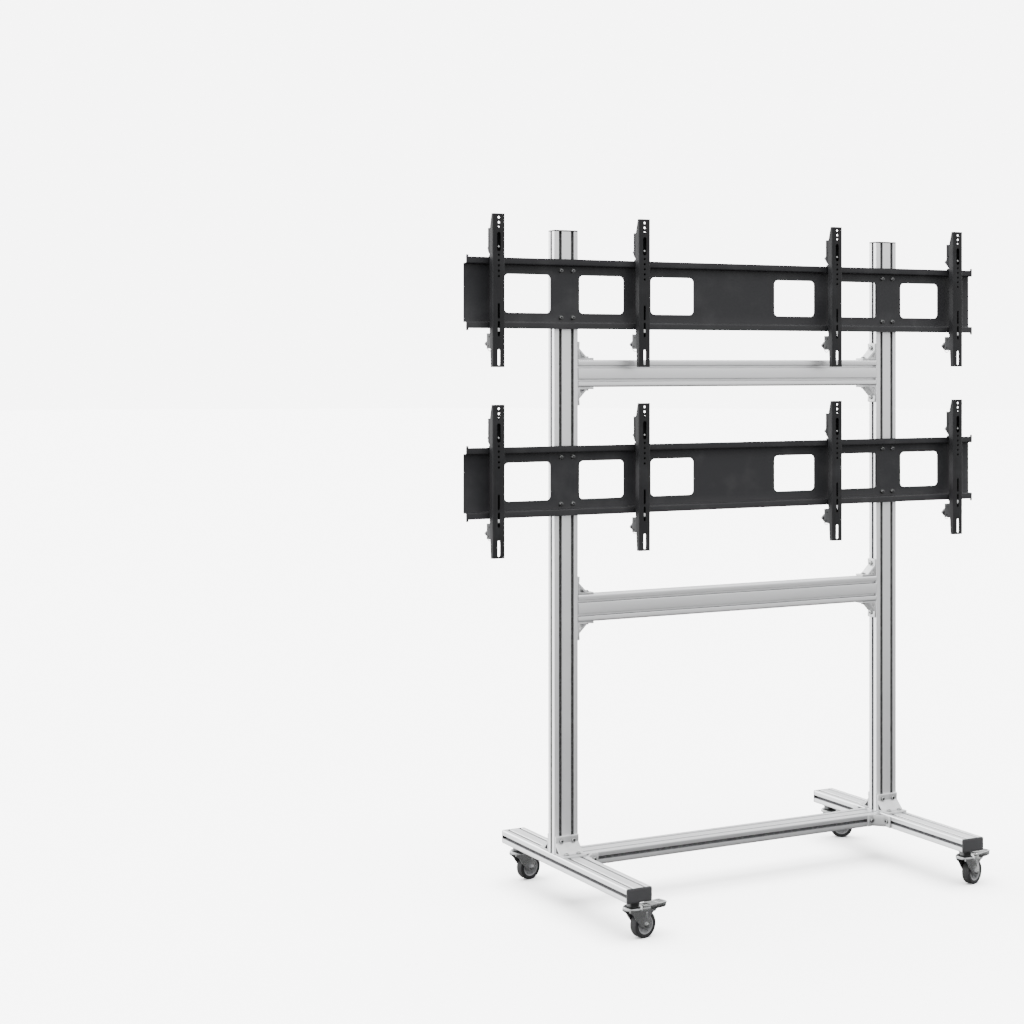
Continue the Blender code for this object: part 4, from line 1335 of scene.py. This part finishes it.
@dataclass(frozen=True)
class HookCarriage:
    """Carriage that hangs on a rail and carries an arm; heights are from the rail's centre line."""

    lip_height: float = 0.1015
    lip_front: float = 0.0322
    lip_back: float = 0.0353
    lip_gap: float = 0.0003
    spine_wide: float = 0.026
    spine_sheet: float = 0.003
    spine_offset: float = 0.0165
    spine_top: float = 0.204
    spine_tab: float = 0.012
    spine_gap: float = 0.0004
    jaw_wide: float = 0.0324
    jaw_sheet: float = 0.0025
    jaw_front: float = 0.0040
    jaw_edge: float = 0.0005
    # each jaw's low end, high end and rear
    upper: tuple[float, float, float] = (0.1050, 0.1840, 0.0400)
    lower: tuple[float, float, float] = (-0.1592, -0.1154, 0.0480)
    chamfer: float = 0.016
    corner: float = 0.003
    small_corner: float = 0.002
    lap: float = 0.001
    edge: float = 0.0004
    # depth, height and radius
    upper_eye: tuple[float, float, float] = (0.0255, 0.144, 0.0030)
    # top, bottom and width
    rear_slot: tuple[float, float, float] = (0.178, 0.148, 0.008)
    # in from the rear and down from the top
    lower_eyes: tuple[Point, ...] = ((0.018, 0.010), (0.028, 0.017), (0.012, 0.0358))
    lower_eye_radius: float = 0.0020
    hook_sheet: float = 0.005
    hook_spread: float = 0.020
    hook_drop: float = 0.012
    latch_rise: float = 0.006
    latch_wide: float = 0.012
    arm_gap: float = 0.0006
    pin_height: float = 0.130
    pin_radius: float = 0.0030
    # low end, high end and width, then the two steps of its slant
    slider: tuple[float, float, float] = (-0.1115, -0.0975, 0.0064)
    slider_slant: Point = (0.0035, 0.0045)
    # height, radius and reach of the upper and the lower knob
    knobs: tuple[tuple[float, float, float], ...] = ((0.1280, 0.0100, 0.015), (-0.1450, 0.0125, 0.020))
    knob_thick: float = 0.010
    knob_lobes: int = 4
    knob_wave: float = 0.24
    knob_edge: float = 0.0012
    pull_radius: float = 0.0009
    # out to the side, behind the jaw, and up from its low end
    pull_side: tuple[tuple[float, float, float], ...] = (
        (0.007, -0.001, 0.012), (0.009, 0.006, 0.004), (0.006, 0.007, -0.004))
    pull_foot: Point = (0.007, -0.007)
    screw_height: float = 0.1970
    screw_radius: float = 0.0055
    screw_rear: float = 0.029
    screw_stem: float = 0.003
    knurls: int = 12
    knurl_depth: float = 0.10

    def jaw(self, low: float, high: float, rear: float) -> Form:
        """Upright box section of a jaw, open at the front.

        Args:
            low: Height of its lower end.
            high: Height of its upper end.
            rear: How far it reaches behind the arm's face.

        Returns:
            The section, with the spine's channel left free.
        """
        out, inner, bend = self.jaw_wide / 2, self.jaw_wide / 2 - self.jaw_sheet, self.corner
        front, web, back = self.jaw_front, self.spine_offset, rear - self.jaw_sheet
        outer = [(-out, front), (-inner, front), (-inner, web), (inner, web), (inner, front), (out, front),
                 *Draw.arc((out - bend, rear - bend), bend, 0, 90, 4),
                 *Draw.arc((bend - out, rear - bend), bend, 90, 180, 4)]
        web += self.spine_sheet
        chamber = [(-inner, web), (inner, web), (inner, back), (-inner, back)]
        return Form.plate([outer, chamber], high - low, low)

    def upper_jaw(self) -> Form:
        """Jaw over the rail.

        Returns:
            The jaw, with its sloping underside, side eyes and rear slot.
        """
        low, high, rear = self.upper
        out, lap = self.jaw_wide, self.lap
        wedge = Form.plate([[(rear - self.chamfer, low - lap), (rear + lap, low - lap),
                             (rear + lap, low + self.chamfer)]], 2 * out).at(STAND_ASIDE)
        y, z, radius = self.upper_eye
        eyes = Form.rod((-out, y, z), (out, y, z), radius, steps=12)
        slot = Form.plate([Draw.slot(*self.rear_slot)], 4 * self.jaw_sheet).at(
            Matrix.Translation((0, rear, 0)) @ STAND_UP)
        return self.jaw(low, high, rear).cut(Form.gather((wedge, eyes, slot))).softened(self.jaw_edge, 1)

    def lower_jaw(self) -> Form:
        """Jaw under the rail.

        Returns:
            The jaw, with its side eyes.
        """
        low, high, rear = self.lower
        out = self.jaw_wide
        eyes = [Form.rod((-out, rear - deep, high - down), (out, rear - deep, high - down),
                         self.lower_eye_radius, steps=12) for deep, down in self.lower_eyes]
        return self.jaw(low, high, rear).cut(Form.gather(eyes)).softened(self.jaw_edge, 1)

    def hooks(self) -> Form:
        """Prongs over the upper lip and the latch round the lower lip.

        Returns:
            Two prongs and one latch.
        """
        lip, front, back = self.lip_height, self.lip_front, self.lip_back
        behind, over = back + self.hook_sheet, lip + self.lip_gap
        top, end = over + self.hook_sheet, lip - self.hook_drop
        root = self.spine_offset + self.spine_sheet - self.lap
        bend, small = self.corner, self.small_corner
        # from the spine over the lip and down behind it
        prong = [(root, end), (front, end), (front, over), (back, over), (back, end),
                 *Draw.arc((behind - small, end + small), small, 270, 360, 3),
                 *Draw.arc((behind - bend, top - bend), bend, 0, 90, 4), (root, top)]
        latch = [(root, -end), (root, -top), *Draw.arc((behind - bend, bend - top), bend, 270, 360, 4),
                 (behind, self.latch_rise - lip), (back, self.latch_rise - lip), (back, -over),
                 (front, -over), (front, -end)]
        prongs = [Form.plate([prong], self.hook_sheet, edge=self.edge).at(
            Matrix.Translation((side * self.hook_spread / 2, 0, 0)) @ STAND_ASIDE) for side in (-1, 1)]
        return Form.gather([*prongs, Form.plate([latch], self.latch_wide, edge=self.edge).at(STAND_ASIDE)])

    def spine(self) -> Form:
        """Strip that joins the jaws inside the arm.

        Returns:
            The strip, narrowed to a tab at the top.
        """
        bend, small = self.corner, self.small_corner
        low, high, shoulder = self.lower[1] - self.lap, self.spine_top, self.upper[1] + small
        half, tab = self.spine_wide / 2, self.spine_tab / 2
        outline = [(-half, low), (half, low), (half, shoulder - small), (half - small, shoulder),
                   (tab, shoulder),
                   *Draw.arc((tab - bend, high - bend), bend, 0, 90, 4),
                   *Draw.arc((bend - tab, high - bend), bend, 90, 180, 4),
                   (-tab, shoulder), (small - half, shoulder), (-half, shoulder - small)]
        strip = Form.plate([outline], self.spine_sheet - self.spine_gap, edge=0.0003)
        return strip.at(Matrix.Translation((0, self.spine_offset + self.spine_sheet / 2, 0)) @ STAND_UP)

    def guides(self) -> Form:
        """Guides that run in the arm's slots.

        Returns:
            The end of a screw and, below it, a slanted slider.
        """
        root, height, gap = self.spine_offset + self.lap, self.pin_height, self.arm_gap
        low, high, wide = self.slider
        first, second = self.slider_slant
        pin = Form.rod((0, root, height), (0, gap, height), self.pin_radius, gap)
        outline = [(gap, low + gap), (2 * gap, low), (root, low), (root, high), (2 * gap, high - first),
                   (gap, high - second)]
        return pin + Form.plate([outline], wide, edge=self.edge).at(STAND_ASIDE)

    def knob(self, height: float, radius: float, reach: float, rear: float) -> Form:
        """Lobed hand knob behind a jaw.

        Args:
            height: Height of its axis.
            radius: Outer radius.
            reach: How far it stands off the jaw.
            rear: Where the back of the jaw is.

        Returns:
            The knob with its neck.
        """
        front, lap = rear + reach - self.knob_thick, self.lap
        lobes = Form.plate([Draw.lobes(radius, self.knob_lobes, self.knob_wave)], self.knob_thick, 0.0,
                           edge=self.knob_edge)
        neck = Form.rod((0, rear - lap, height), (0, front + lap, height), radius / 2, 0.0005)
        return neck + lobes.at(Matrix.Translation((0, front, height)) @ ALONG_Y)

    def pull(self) -> Form:
        """Thin wire loop under the lower knob.

        Returns:
            The loop.
        """
        low, _, rear = self.lower
        side = [(x, rear + out, low + up) for x, out, up in self.pull_side]
        foot_out, foot_up = self.pull_foot
        path = [(-x, y, z) for x, y, z in side] + [(0.0, rear + foot_out, low + foot_up)] + side[::-1]
        return Form.wire(path, self.pull_radius)

    def screw(self) -> Form:
        """Height screw at the top of the spine.

        Returns:
            The screw with its knurled head.
        """
        start, height = self.spine_offset + self.spine_sheet, self.screw_height
        knurl = Draw.lobes(self.screw_radius, self.knurls, self.knurl_depth, 4)
        head = Form.plate([knurl], self.screw_rear - start, 0.0, edge=0.0006)
        stem = Form.rod((0, start - 2 * self.lap, height), (0, start + self.lap, height), self.screw_stem)
        return stem + head.at(Matrix.Translation((0, start, height)) @ ALONG_Y)

    def build(self, shop: Workshop) -> None:
        """Fit all eight carriages.

        Args:
            shop: Workshop that fits the pieces.
        """
        rears = (self.upper[2], self.lower[2])
        knobs = Form.gather(self.knob(*spec, rear) for spec, rear in zip(self.knobs, rears))
        parts = (("upper_jaw", self.upper_jaw(), Finish.JAW_DARK),
                 ("lower_jaw", self.lower_jaw(), Finish.JAW_LIGHT),
                 ("spine", self.spine(), Finish.JAW_DARK), ("hooks", self.hooks(), Finish.JAW_LIGHT),
                 ("knobs", knobs, Finish.KNOB), ("guides", self.guides(), Finish.BOLT),
                 ("screw", self.screw(), Finish.KNOB), ("pull", self.pull(), Finish.BOLT))
        for level in LEVELS:
            for number in ARMS:
                node = f"hook_carriage_{level}_{number}"
                arm_low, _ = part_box(f"display_arm_{level}_{number}")
                place = Matrix.Translation((middle(node).x, arm_low[1], middle(f"rail_{level}").z))
                shop.fit_parts(node, parts, place, f"carriage_{level}_{number}")


@dataclass(frozen=True)
class Caster:
    """Braked swivel caster, shaped with its swivel axis at the origin and its trail along +X."""

    height: float = 0.1107
    wheel_radius: float = 0.0375
    wheel_wide: float = 0.025
    trail: float = 0.037
    edge: float = 0.0004
    fork_gap: float = 0.0285
    fork_sheet: float = 0.0025
    crown: float = 0.0860
    head_radius: float = 0.0285
    head_drop: float = 0.0080
    head_sheet: float = 0.0024
    pin_radius: float = 0.0060
    pin_clear: float = 0.0003
    disc_radius: float = 0.0235
    disc_thick: float = 0.0055
    disc_edge: float = 0.0006
    race_radius: float = 0.0185
    race_start: float = 0.0085
    race_gap: float = 0.0006
    eye_radius: float = 0.0125
    eye_hole: float = 0.0040
    waist: float = 0.0500
    # rear edge of a leg: in from the head's rim, then down from the crown
    leg_inset: Point = (0.004, 0.006)
    # further points of that edge: place, and drop below the crown
    leg_rear: tuple[Point, ...] = ((-0.017, 0.0110), (-0.010, 0.0165), (-0.003, 0.0275), (0.0065, 0.0395))
    # before and below the axle
    eye_hollow: Point = (0.0205, 0.003)
    # two heights above the axle, and the radius of the curve there
    leg_front: tuple[float, float, float] = (0.006, 0.018, 0.009)
    # before and below the pedal's pin
    ear_root: Point = (0.006, 0.0085)
    # start of the bridge, its underside below the crown, and its inset
    bridge: tuple[float, float, float] = (-0.021, 0.0025, 0.0005)
    # top and bottom above the axle, and width
    rib: tuple[float, float, float] = (0.036, 0.016, 0.006)
    rib_thick: float = 0.0008
    axle_out: float = 0.0045
    # radius and thickness
    flange: Point = (0.0078, 0.0012)
    nut: Point = (0.0065, 0.0030)
    # place and height of the pedal's pin, then its radius and how far it stands out
    pivot: Point = (0.0670, 0.0785)
    pivot_pin: Point = (0.0022, 0.0003)
    ear_radius: float = 0.0070
    ear_end: float = 0.002
    hub_radius: float = 0.0275
    shoulder: float = 0.0028
    # wheel's centre: radius, and depth below its face
    dish: tuple[Point, ...] = ((0.0042, 0.0), (0.0086, 0.0), (0.0092, 0.0008), (0.0100, 0.0048),
                               (0.0220, 0.0056), (0.0236, 0.0012))
    # the same at its rim, with the first number counted from the hub's radius
    rim_step: tuple[Point, ...] = ((-0.0010, 0.0008), (0.0005, 0.0016))
    spokes: int = 6
    # inner and outer end of a spoke, then the depth of its foot and its top
    spoke_reach: Point = (0.0095, 0.0225)
    spoke_depth: Point = (0.0070, 0.0020)
    spoke_wide: float = 0.0022
    pedal_start: float = 0.031
    pedal_reach: float = 0.1134
    pedal_wide: float = 0.038
    pedal_corner: float = 0.007
    pedal_rise: float = 0.0090
    pedal_sheet: float = 0.0022
    pedal_web: float = 0.003
    pedal_lip: float = 0.0018
    pedal_toe: float = 0.0032
    # place on the deck, length, width and corner
    opening: tuple[float, float, float, float] = (0.018, 0.018, 0.020, 0.003)
    tongue: tuple[float, float, float, float] = (0.020, 0.012, 0.009, 0.002)
    tongue_sheet: float = 0.0016
    tongue_drop: float = 0.0008
    # outer and inner radius
    barrel: Point = (0.0046, 0.0028)
    barrel_gap: float = 0.0006
    # start and end of a side wall, how far it hangs, and its thickness
    skirt: tuple[float, float, float, float] = (0.052, 0.1066, 0.0010, 0.0017)
    bead_at: float = 0.0165
    # length, inset and corner of each edge of the bead
    bead_outer: tuple[float, float, float] = (0.031, 0.001, 0.006)
    bead_inner: tuple[float, float, float] = (0.024, 0.008, 0.004)

    def mount(self) -> Form:
        """Fixed disc, race and kingpin.

        Returns:
            The three in one turned form.
        """
        top, crown, edge = self.height, self.crown, self.disc_edge
        disc, race, pin = self.disc_radius, self.race_radius, self.pin_radius
        under, broken = top - self.disc_thick, 0.0008
        race_end = crown + self.head_drop + self.race_gap
        # from the top of the disc down to the end of the kingpin
        return Form.turned([(0, top), (disc - edge, top), (disc, top - edge), (disc, under + edge),
                            (disc - broken, under), (race + broken, under - 0.0005),
                            (race, top - self.race_start), (race, race_end), (pin, race_end),
                            (pin, crown - 0.003), (pin - broken, crown - 0.0035), (0, crown - 0.0035)])

    def head(self) -> Form:
        """Dished swivel head.

        Returns:
            The head with its rolled rim, bored for the kingpin.
        """
        rim, drop, crown = self.head_radius, self.head_drop, self.crown
        bore = self.pin_radius + self.pin_clear
        rolled = Draw.arc((rim - drop, crown), drop, 88, 2, 8)
        return Form.turned([(bore, crown + drop), (rim - drop - 0.004, crown + drop), *rolled,
                            (rim, crown - 0.002), (rim - 0.0016, crown - 0.002),
                            (rim - self.head_sheet, crown - 0.0005), (bore, crown - 0.0005)], 48)

    def legs(self) -> Form:
        """Pressed legs of the fork.

        Returns:
            Two legs with their raised ribs, and the bridge between them.
        """
        x, z, crown, rim = self.trail, self.wheel_radius, self.crown, self.head_radius
        pivot_x, pivot_z = self.pivot
        inset, shoulder = self.leg_inset
        low, high, curve = self.leg_front
        # down the rear edge, round the axle's eye, and up the front edge to the pedal's ear
        leg = [(inset - rim, crown), (inset - rim, crown - shoulder),
               *((rear, crown - drop) for rear, drop in self.leg_rear),
               (x - self.eye_hollow[0], z - self.eye_hollow[1]),
               *Draw.arc((x, z), self.eye_radius, 215, 350, 10),
               (self.waist, z + low), (self.waist, z + high),
               *Draw.arc((self.waist + curve, z + high), curve, 175, 110, 4),
               (pivot_x - self.ear_root[0], pivot_z - self.ear_root[1]),
               *Draw.arc((pivot_x, pivot_z), self.ear_radius, -70, 60, 8), (pivot_x - self.ear_end, crown)]
        half = self.fork_gap / 2 + self.fork_sheet
        eye = Draw.circle((x, z), self.eye_hole, 16)
        side = Form.plate([leg, eye], self.fork_sheet, edge=0.0005).at(STAND_UP)
        start, under, inside = self.bridge
        bridge = Form.block((start, inside - half, crown - under),
                            (self.waist, half - inside, crown - inside), self.edge)
        top, bottom, wide = self.rib
        rib = Form.plate([Draw.slot(z + top, z + bottom, wide, x)], self.rib_thick, edge=0.0003).at(STAND_UP)
        return Form.gather([side.pair((self.fork_gap + self.fork_sheet) / 2), bridge,
                            rib.pair(half + 0.0001)])

    def axle(self) -> Form:
        """Axle of the wheel and pin of the pedal.

        Returns:
            The axle with its flanged nut and bolt head, and the pin.
        """
        x, z, half = self.trail, self.wheel_radius, self.fork_gap / 2 + self.fork_sheet
        pin, out = self.pivot_pin
        end = half + self.axle_out
        parts = [Form.rod((x, -end, z), (x, end, z), self.eye_hole, 0.0005),
                 Form.rod((self.pivot[0], -half - out, self.pivot[1]),
                          (self.pivot[0], half + out, self.pivot[1]), pin, 0.0002)]
        (flange_radius, flange_thick), (nut_radius, nut_thick) = self.flange, self.nut
        for side in (-1, 1):
            face = Matrix.Translation((x, side * half, z)) @ (ALONG_Y if side > 0 else STAND_UP)
            flange = Form.rod((0, 0, -0.0005), (0, 0, flange_thick), flange_radius, 0.0003)
            nut = Form.plate([Draw.circle((0, 0), nut_radius, 6)], nut_thick, 0.0010, edge=self.edge)
            parts.append((flange + nut).at(face))
        return Form.gather(parts)

    def tyre(self) -> Form:
        """Tyre about the axle along Y.

        Returns:
            The tyre, with a crowned tread and round shoulders.
        """
        half, tread, hub, turn = self.wheel_wide / 2, self.wheel_radius, self.hub_radius, self.shoulder
        shoulder = Draw.arc((tread - turn, half - turn), turn - 0.0001, 90, 8, 5)
        top = [(hub - 0.0015, half - 0.0012), (hub, half - 0.0002), *shoulder, (tread, half - 0.0070),
               (tread, 0.004)]
        return Form.turned(self.both_ends(top), 64).at(STAND_UP)

    def hub(self) -> Form:
        """Dished centre of the wheel.

        Returns:
            The centre, with a rim step, spokes and a bearing boss.
        """
        half, rim = self.wheel_wide / 2, self.hub_radius
        # boss, dish and rim step, from the bore outwards
        side = [*((radius, half - deep) for radius, deep in self.dish),
                *((rim + out, half - deep) for out, deep in self.rim_step)]
        (start, end), (low, high), thin = self.spoke_reach, self.spoke_depth, self.spoke_wide / 2
        spoke = Form.block((start, -thin, half - low), (end, thin, half - high), 0.0003)
        over = Matrix.Rotation(math.pi, 4, "X")
        turns = [Matrix.Rotation(2 * math.pi * i / self.spokes, 4, "Z") for i in range(self.spokes)]
        spokes = [spoke.at(turn @ face) for turn in turns for face in (Matrix.Identity(4), over)]
        return Form.gather([Form.turned(self.both_ends(side), 48), *spokes]).at(STAND_UP)

    @staticmethod
    def both_ends(upper: Loop) -> list[Point]:
        """Profile of (radius, height) points continued as its own mirror image below height 0."""
        return [*upper, *((r, -h) for r, h in reversed(upper))]

    def pedal(self) -> Form:
        """Brake pedal about its pin.

        Returns:
            Barrel, webs, side walls, and a deck with an opening and a tongue in it.
        """
        half, rise, sheet = self.fork_gap / 2 - self.barrel_gap, self.pedal_rise, self.pedal_sheet
        start, end = self.pedal_start - self.pivot[0], self.pedal_reach - self.pivot[0]
        wide, edge = self.pedal_wide / 2, self.edge
        ring = [Draw.circle((0, 0), self.barrel[0]), Draw.circle((0, 0), self.barrel[1], 16)]
        barrel = Form.plate(ring, 2 * half, edge=0.0003).at(STAND_UP)
        outline = Draw.box(((start + end) / 2, 0), end - start, 2 * wide, self.pedal_corner)
        (hole_at, *hole), (tongue_at, *flap) = self.opening, self.tongue
        deck = Form.plate([outline, Draw.box((start + hole_at, 0), *hole)], sheet, rise, edge=0.0006)
        tongue = Form.plate([Draw.box((start + tongue_at, 0), *flap)], self.tongue_sheet,
                            rise - self.tongue_drop, edge=edge)
        first, last, drop, thick = self.skirt
        first, last = first - self.pivot[0], last - self.pivot[0]
        top = rise + 0.0006
        # lower edge of a side wall, from the fork to the toe
        wall = [(first, top), (first + 0.003, 0.0015), (first + 0.005, -drop), (last - 0.007, -drop),
                (last - 0.003, 0.0005), (last, self.pedal_toe), (last, top)]
        walls = Form.plate([wall], thick, edge=edge).at(STAND_UP).pair(wide - thick / 2)
        web = [(-0.0008, 0.0036), (0.0036, 0.0008), (0.018, rise + 0.0005), (-0.012, rise + 0.0005)]
        webs = Form.plate([web], self.pedal_web, edge=edge).at(STAND_UP).pair(half - self.pedal_web)
        return Form.gather([barrel, deck, tongue, webs, walls])

    def bead(self) -> Form:
        """Rolled bead round the end of the pedal's deck.

        Returns:
            The bead with its turned-down toe.
        """
        end, wide, corner = self.pedal_reach - self.pivot[0], self.pedal_wide / 2, self.pedal_corner
        top = self.pedal_rise + self.pedal_sheet
        toe = Form.block((end - 0.003, corner - wide, self.pedal_toe),
                         (end - 0.0005, wide - corner, top + self.pedal_lip), 0.0008)
        rims = [Draw.box((end - self.bead_at, 0), length, 2 * wide - inset, turn)
                for length, inset, turn in (self.bead_outer, self.bead_inner)]
        return toe + Form.plate(rims, self.pedal_lip, top - 0.0006, edge=0.0006)

    def build(self, shop: Workshop) -> None:
        """Fit all four casters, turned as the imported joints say.

        Args:
            shop: Workshop that fits the pieces.
        """
        joints = {joint["name"]: joint for joint in frame["record"]["behaviour"]["joints"]}
        # the mount's dark plating is painted shade under the foot cap
        mount = (("race", self.mount(), Finish.MOUNT),)
        fork = (("legs", self.legs(), Finish.FORK), ("head", self.head(), Finish.RACE),
                ("axle", self.axle(), Finish.BOLT))
        wheel = (("tyre", self.tyre(), Finish.TYRE), ("hub", self.hub(), Finish.HUB))
        # one pressed steel pedal: its deck darkened for painted shade, its bead kept bright for a painted
        # highlight
        pedal = (("deck", self.pedal(), Finish.PEDAL), ("bead", self.bead(), Finish.BEAD))
        for end, _ in ENDS:
            for side, _ in SIDES:
                key = f"{end}_{side}"
                swivel, spin = joints[f"swivel_{key}"], joints[f"wheel_spin_{key}"]
                x, y, _ = swivel["pos_m"]
                turn = math.atan2(-spin["axis"][0], spin["axis"][1])
                place = Matrix.Translation((x, y, 0)) @ Matrix.Rotation(turn, 4, "Z")
                at_axle = place @ Matrix.Translation((self.trail, 0, self.wheel_radius))
                at_pin = place @ Matrix.Translation((self.pivot[0], 0, self.pivot[1]))
                shop.fit_parts(f"caster_mount_{key}", mount, place, "frame")
                shop.fit_parts(f"caster_fork_{key}", fork, place, f"fork_{key}")
                shop.fit_parts(f"caster_wheel_{key}", wheel, at_axle, f"wheel_{key}")
                shop.fit_parts(f"brake_pedal_{key}", pedal, at_pin, f"pedal_{key}")


@dataclass(frozen=True)
class Softbox:
    """Soft patch of bright studio wall, which only lights and shows in reflections."""

    towards: tuple[float, float, float]
    start: float
    end: float
    strength: float

    def glow(self, graph: Graph) -> Wire:
        """How bright the patch is in each direction.

        Args:
            graph: Node graph of the world, whose coordinates are directions.

        Returns:
            The brightness.
        """
        aim = Vector(self.towards).normalized()
        facing = graph.node("ShaderNodeVectorMath", {"operation": "DOT_PRODUCT"},
                            {0: graph.place, 1: aim}, "Value")
        return facing.above(self.start, self.end) * self.strength


@dataclass(frozen=True)
class Studio:
    """Floor, surroundings, lights and camera."""

    camera_at: tuple[float, float, float] = (-3.283, -4.805, 1.582)
    yaw: float = 27.472
    lens: float = 66.81
    sensor: float = 36.0
    lift: float = -0.1459
    backdrop: float = 7.0
    below: float = 0.22
    around: float = 2.0
    horizon: Point = (-0.25, 0.12)
    floor_radius: float = 60.0
    floor_facets: int = 96
    floor_sun: float = 16.5
    floor_sun_spread: float = 70.0
    softboxes: tuple[Softbox, ...] = (
        Softbox((-0.80, 0.60, 0.15), 0.15, 0.95, 2.6),
        Softbox((0.95, 0.25, 0.20), 0.75, 0.98, 2.2),
        Softbox((0.0, -0.25, 1.0), 0.45, 0.95, 1.2),
        Softbox((-0.24, 0.86, 0.46), 0.86, 0.98, 3.5))

    def build(self, shop: Workshop) -> None:
        """Set up everything round the stand.

        Args:
            shop: Workshop that holds the materials.
        """
        floor = self.lay_floor(shop)
        self.light_floor(floor)
        self.paint_walls()
        self.aim_camera()

    def lay_floor(self, shop: Workshop) -> bpy.types.Object:
        """Large round floor that the metal doesn't mirror.

        Args:
            shop: Workshop that holds the materials.

        Returns:
            The floor.
        """
        bm = bmesh.new()
        bmesh.ops.create_circle(bm, cap_ends=True, segments=self.floor_facets, radius=self.floor_radius)
        floor = bpy.data.objects.new("studio_floor", Form.from_bmesh(bm).mesh)
        floor.data.materials.append(shop.materials[Finish.FLOOR])
        floor.visible_glossy = floor.visible_diffuse = False
        bpy.context.scene.collection.objects.link(floor)
        return floor

    def light_floor(self, floor: bpy.types.Object) -> None:
        """Wide light from above for the floor alone, so that it is as bright as the backdrop.

        Args:
            floor: The floor.
        """
        light = bpy.data.lights.new("floor_sun", "SUN")
        light.energy, light.angle = self.floor_sun, math.radians(self.floor_sun_spread)
        lamp = bpy.data.objects.new("floor_sun", light)
        bpy.context.scene.collection.objects.link(lamp)
        lit = bpy.data.collections.new("lit_by_floor_sun")
        lit.objects.link(floor)
        lamp.light_linking.receiver_collection = lit

    def paint_walls(self) -> None:
        """White backdrop for the camera, and a grey room with soft bright patches for everything else."""
        world = bpy.data.worlds.new("studio")
        world.use_nodes = True
        bpy.context.scene.world = world
        graph = Graph(world.node_tree, "Generated")
        height = graph.node("ShaderNodeSeparateXYZ", None, {0: graph.place}, "Z")
        room = height.above(*self.horizon) * (self.around - self.below) + self.below
        for softbox in self.softboxes:
            room = room + softbox.glow(graph)
        backdrop = graph.node("ShaderNodeLightPath", output="Is Camera Ray")
        white = graph.node("ShaderNodeBackground", None, {"Strength": self.backdrop})
        walls = world.node_tree.nodes["Background"]
        walls.inputs["Color"].default_value = white.socket.node.inputs["Color"].default_value = (1, 1, 1, 1)
        world.node_tree.links.new(room.socket, walls.inputs["Strength"])
        shown = graph.node("ShaderNodeMixShader", None, {
            0: backdrop, 1: Wire(graph, walls.outputs["Background"]), 2: white})
        world.node_tree.links.new(shown.socket, world.node_tree.nodes["World Output"].inputs["Surface"])

    def aim_camera(self) -> None:
        """Camera at the photograph's viewing angle."""
        data = bpy.data.cameras.new("view")
        data.lens, data.sensor_width, data.shift_y = self.lens, self.sensor, self.lift
        camera = bpy.data.objects.new("view", data)
        camera.location = self.camera_at
        camera.rotation_euler = (math.radians(90), 0, math.radians(-self.yaw))
        bpy.context.scene.collection.objects.link(camera)
        bpy.context.scene.camera = camera


def main() -> None:
    """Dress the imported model."""
    logging.basicConfig(level=logging.INFO, format="%(name)s: %(message)s")
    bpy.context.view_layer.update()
    shop = Workshop()
    for assembly in (FrameBars(), FrameBrackets(), DisplayRail(), DisplayArm(), HookCarriage(), Caster()):
        assembly.build(shop)
    Studio().build(shop)
    bpy.context.view_layer.update()


if __name__ == "__main__":
    main()
